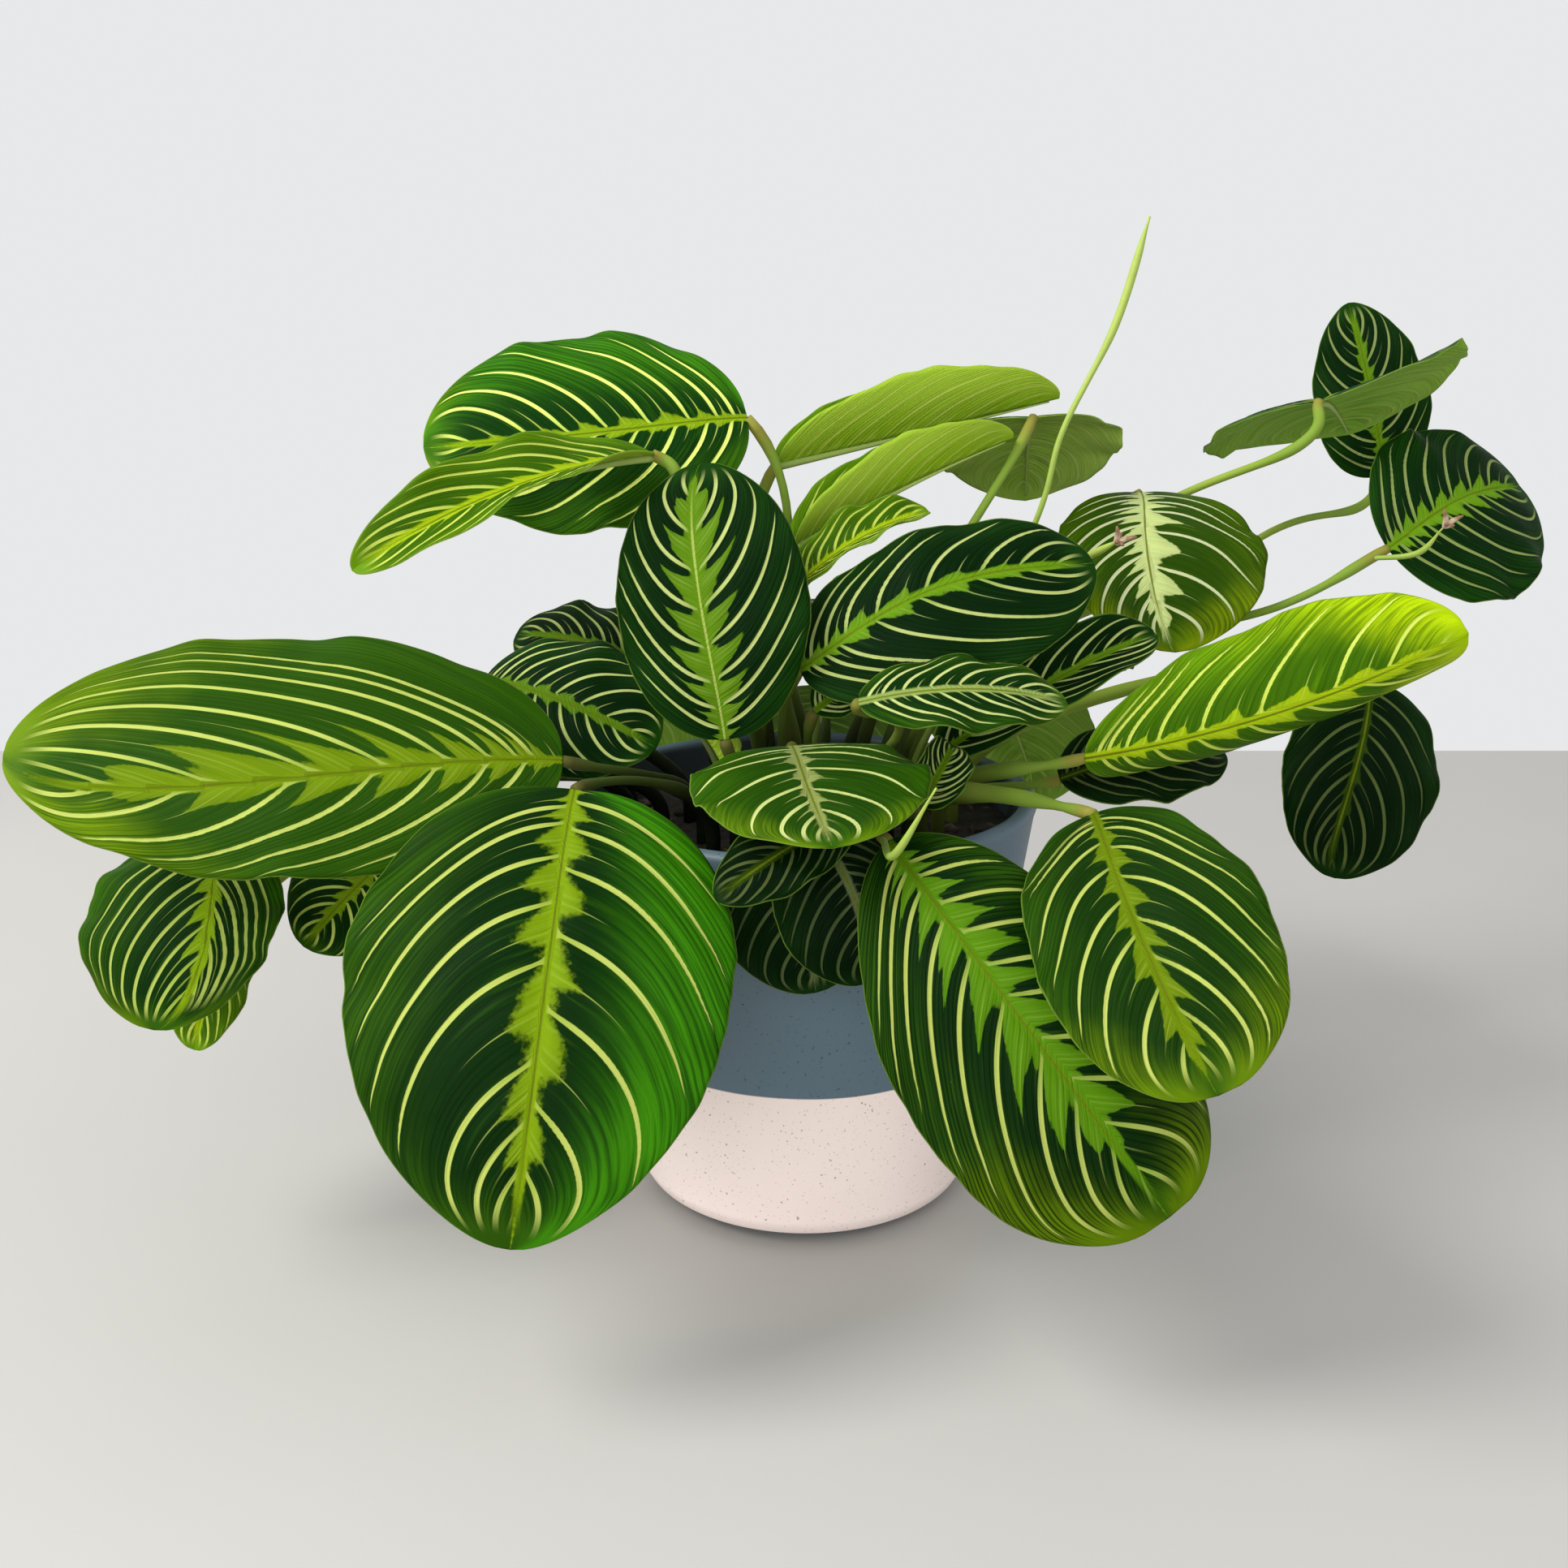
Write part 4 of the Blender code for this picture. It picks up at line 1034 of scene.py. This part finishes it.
def stalk_material():
    """Stalks: a pale sheath, a green stalk, a brownish knee under the blade and fine lengthwise streaks."""
    material, tree = new_material("stalk")
    share, _, rib = attribute(tree, "leaf_place")
    streak = noise(tree, STALK_STREAKS, 3.0)
    shown = mix(rise(share, SHEATH_SHARE - 0.1, SHEATH_SHARE + 0.05), SHEATH, STALK)
    shown = mix(rise(share, 0.86, 0.97) * 0.8, shown, KNEE)
    shown = mix(rib, shown, RIB)
    shown = mix(streak * 0.5, shown, STALK)
    finish(tree, mix(out_of_shade(tree), SHADED, shown), streak * 0.3 + 0.45, STALK_GLOSS)
    set_bump(noise(tree, STALK_GRAIN, 3.0), 0.3, 0.2)
    return material


def stand_for(piece, node, slot):
    """Lets a piece ride with the plant in place of a node, which it hides; the slot is not used."""
    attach(piece, "root")
    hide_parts(node)


def make_leaf(leaf, seed, finishes):
    """A leaf: blade, midrib and stalk in one piece, in place of the solid."""
    look = LOOKS.get(leaf.name, Look())
    shell = Shell()
    add_blade(shell, leaf, look)
    path = stalk_path(leaf, node_root(leaf.name))
    add_tube(shell, path, stalk_radii(path, THICK_SHEATHS.get(leaf.name, 0.0)), STALK_SIDES, 1)
    add_rib(shell, leaf, look)
    if leaf.name in BRANCHES:
        add_branch(shell, path, BRANCHES[leaf.name], leaf.name in SPENT_FLOWERS)
    piece = shell.build(leaf.name + "_fine", [leaf_material(leaf, look, seed), *finishes])
    stand_for(piece, leaf.name, "leaf_" + leaf.tint)


SPIKE_GREEN = colour(0.24, 0.36, 0.04)
SPIKE_TIP = colour(0.36, 0.46, 0.08)
PETAL_PALE = colour(0.62, 0.5, 0.36)
PETAL_BROWN = colour(0.2, 0.1, 0.05)
PETALS = 5
PETAL_LENGTH = 5.0
SPENT_FLOWERS = ("leaf_far_right", "flower_stalk_spent")


def petal_material():
    """Dried petals: pale with brown ends."""
    material, tree = new_material("petals")
    share, _, _ = attribute(tree, "leaf_place")
    patch = noise(tree, PETAL_PATCHES, 2.0)
    brown = rise(share + (patch - 0.5) * 0.6, 0.3, 0.9)
    finish(tree, mix(brown, PETAL_PALE, PETAL_BROWN), patch * 0.2 + 0.6)
    return material


def add_branch(shell, stalk, branch, spent):
    """A short flower stalk that leaves a leaf's stalk, with a spent flower on it or bare."""
    start = stalk[round(branch.share * (len(stalk) - 1))]
    outward = unit(np.subtract(branch.points[0], start))
    upward = unit(np.subtract(branch.points[-1], branch.points[-2]))
    path = smooth_path([start, *branch.points], outward, upward, 10)
    share = np.linspace(0, 1, len(path))
    radii = branch.radius * (0.8 + 0.2 * smooth(share, 0, 0.5) - 0.75 * smooth(share, 0.55, 1))
    add_tube(shell, path, radii, THIN_SIDES, 2)
    if spent:
        add_petals(shell, path[-1], unit(path[-1] - path[-2]), 3)


def add_petals(shell, place, direction, material):
    """A small spent flower: narrow petals that spread from one point."""
    side = unit(np.cross(direction, (0.2, 0.9, 0.3)))
    for k in range(PETALS):
        angle = 2 * math.pi * k / PETALS
        outward = math.cos(angle) * side + math.sin(angle) * np.cross(direction, side)
        length = PETAL_LENGTH * (0.7 + 0.3 * math.cos(2.1 * k))
        steps = np.linspace(0, 1, 7)[:, None]
        path = place + length * (direction * steps + outward * (0.15 * steps + 0.55 * steps ** 2))
        radii = 0.25 + 0.55 * np.sin(math.pi * np.linspace(0.05, 0.97, 7))
        add_tube(shell, path, radii, 8, material)


def flower_material():
    """Flower stalks: pale yellow-green with fine streaks."""
    material, tree = new_material("flower_stalk")
    share, _, _ = attribute(tree, "leaf_place")
    streak = noise(tree, SPIKE_STREAKS, 3.0)
    shown = mix(rise(share, 0.2, 0.9), SPIKE_GREEN, SPIKE_TIP)
    finish(tree, mix(streak * 0.5, shown, STALK), streak * 0.25 + 0.4)
    set_bump(streak, 0.3, 0.2)
    return material


def make_spike(name, points, finishes):
    """A flower stalk that thickens to a slim pointed bud."""
    root = node_root(name)
    bottom = np.array([root[0], root[1], float(soil_top(*root)) - ROOT_DEPTH])
    top = bottom + (0, 0, ROOT_DEPTH + SOIL_MOUND + STRAIGHT_START)
    last = unit(np.subtract(points[-1], points[-2]))
    path = np.vstack([bottom, smooth_path([top, *points], (0, 0, 1), last, 14)])
    share = np.arange(len(path)) / (len(path) - 1)
    bud = smooth(share, 0.72, 0.8) * (1 - smooth(share, 0.9, 1))
    radii = SPIKE_RADIUS + (BUD_RADIUS - SPIKE_RADIUS) * bud
    radii -= (SPIKE_RADIUS - 0.3) * smooth(share, 0.93, 1)
    shell = Shell()
    add_tube(shell, path, radii, STALK_SIDES, 0)
    if name in SPENT_FLOWERS:
        add_petals(shell, path[-1] - 2 * last, last, 1)
    stand_for(shell.build(name + "_fine", finishes), name, "flower_stalk")


# Pot and soil

POT_LEAN = (POT_RIM_RADIUS - POT_BODY_RADIUS) / (POT_HEIGHT - POT_BODY_START)


def pot_wall_radius(height):
    """The body's outer radius at a height, a number or a wire."""
    return (height - POT_BODY_START) * POT_LEAN + POT_BODY_RADIUS


def pot_profile():
    """The pot's outline, from the middle of its foot round the rim to the middle of its floor inside."""
    ring, hollow = FOOT_RING, FOOT_HOLLOW
    profile = [(0.0, hollow), (ring - 2, hollow), (ring, 0.0), (POT_FOOT_RADIUS - 0.6, 0.0)]
    bevel_radius, bevel_height = FOOT_BEVEL
    for t in np.linspace(0.05, 1, 8):
        profile.append((POT_FOOT_RADIUS + (bevel_radius - POT_FOOT_RADIUS) * t, bevel_height * t))
    for t in np.linspace(0, 1, 9)[1:]:
        turn = math.sin(math.pi / 2 * t)
        profile.append((bevel_radius + (POT_BODY_RADIUS - bevel_radius) * turn,
                        bevel_height + (POT_BODY_START - bevel_height) * t))
    for height in np.linspace(POT_BODY_START, POT_HEIGHT - POT_WALL / 2, 50)[1:-1]:
        profile.append((pot_wall_radius(height), height))
    middle = pot_wall_radius(POT_HEIGHT) - POT_WALL / 2
    for angle in np.linspace(0, math.pi, 13):
        profile.append((middle + POT_WALL / 2 * math.cos(angle),
                        POT_HEIGHT - POT_WALL / 2 + POT_WALL / 2 * math.sin(angle)))
    profile.append((pot_wall_radius(POT_FLOOR) - POT_WALL, POT_FLOOR))
    profile.append((0.0, POT_FLOOR))
    return profile


def turned(name, profile, sides, material):
    """A solid turned about Z from a profile whose ends lie on the axis."""
    angles = 2 * math.pi * np.arange(sides) / sides
    points = [(0, 0, profile[0][1])]
    for radius, height in profile[1:-1]:
        points.extend(zip(radius * np.cos(angles), radius * np.sin(angles), np.full(sides, height)))
    points.append((0, 0, profile[-1][1]))
    count = len(profile) - 2
    last = 1 + (count - 1) * sides
    faces = ring_faces(count, sides, 1)
    for k in range(sides):
        after = (k + 1) % sides
        faces.append((0, 1 + after, 1 + k))
        faces.append((len(points) - 1, last + k, last + after))
    shell = Shell()
    shell.add(np.array(points, dtype=float), (0, 0, 0), (0, 0, 0), faces, 0)
    return shell.build(name, [material])


SLATE = colour(0.09, 0.145, 0.19)
BLUSH = colour(0.93, 0.8, 0.76)
# The foot's band: the blush darkened by painted shade
FOOT_IN_SHADE = colour(0.66, 0.55, 0.52)
# Dark slate, for the specks in the glaze and for painted shade on the inner wall
SLATE_SPECK_AND_INNER_SHADE = colour(0.022, 0.032, 0.042)
SPECK_ON_BLUSH = colour(0.3, 0.22, 0.18)


def pot_material():
    """Speckled stoneware: slate glaze above, blush below, and painted shade on the foot's band and on the
    inner wall.
    """
    material, tree = new_material("pot")
    x, y, height = own_place(tree)
    cloud = noise(tree, GLAZE_CLOUDS, 3.0)
    glaze = rise(height + (cloud - 0.5) * 0.8, GLAZE_LINE - 0.25, GLAZE_LINE + 0.25)
    # Painted shade: the foot's band below the bevel's top is darker than the blush
    blush = mix(rise(height, FOOT_BEVEL[1] - 0.3, FOOT_BEVEL[1] + 0.3), FOOT_IN_SHADE, BLUSH)
    fine = noise(tree, FINE_SPECKS, 1.0)
    coarse = noise(tree, COARSE_SPECKS, 1.0)
    speck = rise(fine, 0.68, 0.76).math("MAXIMUM", rise(coarse, 0.73, 0.77))
    dot = mix(glaze, SPECK_ON_BLUSH, SLATE_SPECK_AND_INNER_SHADE)
    shown = mix(speck * 0.75, mix(glaze, blush, SLATE), dot)
    shown = mix(cloud * 0.12, shown, dot)
    # Painted shade: the inner wall turns dark slate
    depth = pot_wall_radius(height) - (x * x + y * y).math("SQRT")
    finish(tree, mix(rise(depth, 0.7 * POT_WALL, POT_WALL), shown, SLATE_SPECK_AND_INNER_SHADE), cloud * 0.15 + 0.42)
    set_bump(fine * 0.4 + glaze * 0.6, 0.4, 0.2)
    return material


def make_pot():
    """The pot, finely turned, in place of the solid."""
    stand_for(turned("pot_fine", pot_profile(), POT_SIDES, pot_material()), "pot", "pot")


# Soil colours, near black: the soil's own dark brown, darkened further by painted shade
SOIL_DARK = colour(0.004, 0.003, 0.002)
SOIL_LIGHT = colour(0.022, 0.015, 0.01)
SOIL_BITS = colour(0.16, 0.1, 0.06)
SOIL_RINGS = 56
CRUMBS = (-0.5, 0.3)


def soil_material():
    """Potting soil: dark and crumbly, darker still with painted shade, with lighter bits of bark."""
    material, tree = new_material("soil")
    crumbs = noise(tree, SOIL_CRUMBS, 5.0)
    shown = mix(rise(crumbs, 0.35, 0.7), SOIL_DARK, SOIL_LIGHT)
    shown = mix(rise(noise(tree, SOIL_BARK, 2.0), 0.62, 0.7) * 0.5, shown, SOIL_BITS)
    finish(tree, shown, crumbs * 0.1 + 0.85)
    set_bump(crumbs, 0.8, 1.5)
    return material


def make_soil():
    """The soil as a crumbly mound, in place of the solid."""
    inner = POT_WALL + CLEARANCE
    bottom = POT_FLOOR + CLEARANCE
    profile = [(0.0, bottom), (pot_wall_radius(bottom) - inner, bottom)]
    outer = pot_wall_radius(SOIL_HEIGHT) - inner
    profile.extend((radius, SOIL_HEIGHT) for radius in np.linspace(outer, 1.0, SOIL_RINGS))
    profile.append((0.0, SOIL_HEIGHT))
    soil = turned("soil_fine", profile, POT_SIDES, soil_material())
    random = np.random.default_rng(7)
    for vertex in soil.data.vertices:
        if vertex.co.z > 0.5 * SOIL_HEIGHT * MM:
            crumb = random.uniform(*CRUMBS)
            vertex.co.z = (float(soil_top(vertex.co.x / MM, vertex.co.y / MM)) + crumb) * MM
    stand_for(soil, "soil", "soil")


BARK = colour(0.055, 0.032, 0.018)
BARK_PALE = colour(0.15, 0.1, 0.065)
BARK_BITS = 90
BARK_REACH = 52.0
BARK_HALF_LENGTHS = (1.0, 2.6)
BARK_STEPS = 6


def bark_material():
    """Bark bits in the soil, from dark to pale brown."""
    material, tree = new_material("bark")
    grain = noise(tree, BARK_GRAIN, 3.0)
    shown = mix(rise(noise(tree, BARK_PATCHES, 2.0), 0.4, 0.62), BARK, BARK_PALE)
    finish(tree, mix(grain * 0.5, shown, SOIL_DARK), grain * 0.1 + 0.85)
    set_bump(grain, 0.6, 0.3)
    return material


def make_bark():
    """Small bits of bark that lie on the soil."""
    random = np.random.default_rng(11)
    shell = Shell()
    for _ in range(BARK_BITS):
        reach = BARK_REACH * math.sqrt(random.uniform(0.02, 1))
        angle, turn = random.uniform(0, 2 * math.pi, 2)
        x, y = reach * math.cos(angle), reach * math.sin(angle)
        half = random.uniform(*BARK_HALF_LENGTHS)
        steps = np.linspace(-1, 1, BARK_STEPS)
        middle = np.array([x, y, float(soil_top(x, y)) + 0.3])
        lie = np.array([math.cos(turn), math.sin(turn), random.uniform(-0.25, 0.25)])
        path = middle + half * steps[:, None] * lie + random.uniform(-0.12, 0.12, (BARK_STEPS, 3))
        radii = half * 0.45 * np.sqrt(1.05 - steps ** 2) * random.uniform(0.8, 1.1, BARK_STEPS)
        add_tube(shell, path, radii, 7, 0)
    stand_for(shell.build("bark_bits", [bark_material()]), "soil", "soil")


# Floor, light and camera

CAMERA_PLACE = (-6.0, -427.0, 243.0)
CAMERA_DOWN = 16.0
FOCAL_PIXELS = 1900.0
FRAME_PIXELS = 1932.0
SENSOR = 36.0
# The floor and the lights are in metres
FLOOR_SIZE = 14.0
FLOOR_BACK = 0.495
FLOOR_TONES = (colour(0.4, 0.39, 0.375), colour(0.46, 0.45, 0.43))
SURROUND = colour(0.985, 0.99, 1.0)
SURROUND_STRENGTH = 0.82
PLANT_MIDDLE = (0.0, 0.0, 0.12)
POT_MIDDLE = (0.0, 0.0, 0.06)
# Each light's name, place, target, size, power in watts and tint
LIGHTS = [
    ("key", (-0.9, -0.4, 1.2), PLANT_MIDDLE, 0.7, 20.0, (1.0, 0.99, 0.95)),
    ("front", (-0.5, -1.3, 0.5), POT_MIDDLE, 1.3, 14.0, (1.0, 0.98, 0.96)),
    ("fill", (1.1, -0.7, 0.8), PLANT_MIDDLE, 1.0, 2.0, (0.96, 0.98, 1.0)),
]


def make_floor():
    """A plain pale floor that ends where the photograph's table does."""
    bpy.ops.mesh.primitive_plane_add(size=FLOOR_SIZE, location=(0.0, FLOOR_BACK - FLOOR_SIZE / 2, 0.0))
    floor = bpy.context.object
    floor.name = "floor"
    material, tree = new_material("floor")
    finish(tree, mix(noise(tree, FLOOR_CLOUDS, 4.0), *FLOOR_TONES), 0.6)
    floor.data.materials.append(material)


def add_light(name, place, target, size, power, tint):
    """A square soft light that faces a point."""
    lamp = bpy.data.lights.new(name, "AREA")
    lamp.size = size
    lamp.energy = power
    lamp.color = tint
    light = link(lamp, name)
    light.location = place
    direction = Vector(target) - Vector(place)
    light.rotation_euler = direction.to_track_quat("-Z", "Y").to_euler()


def make_studio():
    """Soft daylight from the upper left, a wide lamp in front, a weak one at the right, a pale surround."""
    world = bpy.data.worlds.new("studio")
    world.use_nodes = True
    background = world.node_tree.nodes["Background"]
    background.inputs["Color"].default_value = SURROUND
    background.inputs["Strength"].default_value = SURROUND_STRENGTH
    bpy.context.scene.world = world
    for light in LIGHTS:
        add_light(*light)
    bpy.context.scene.view_settings.view_transform = "Standard"


def make_camera():
    """The camera at the place, tilt and field of view that were fitted to the photograph."""
    camera = link(bpy.data.cameras.new("camera"), "camera")
    camera.location = [value * MM for value in CAMERA_PLACE]
    camera.rotation_euler = (math.radians(90 - CAMERA_DOWN), 0, 0)
    camera.data.sensor_width = SENSOR
    camera.data.lens = FOCAL_PIXELS / FRAME_PIXELS * SENSOR
    camera.data.clip_start = 0.01
    bpy.context.scene.camera = camera


flower_finishes = [flower_material(), petal_material()]
leaf_finishes = [stalk_material(), *flower_finishes]
make_pot()
make_soil()
make_bark()
for order, leaf in enumerate(LEAVES):
    make_leaf(leaf, order + 1, leaf_finishes)
for name, points in SPIKES.items():
    make_spike(name, points, flower_finishes)
make_floor()
make_studio()
make_camera()
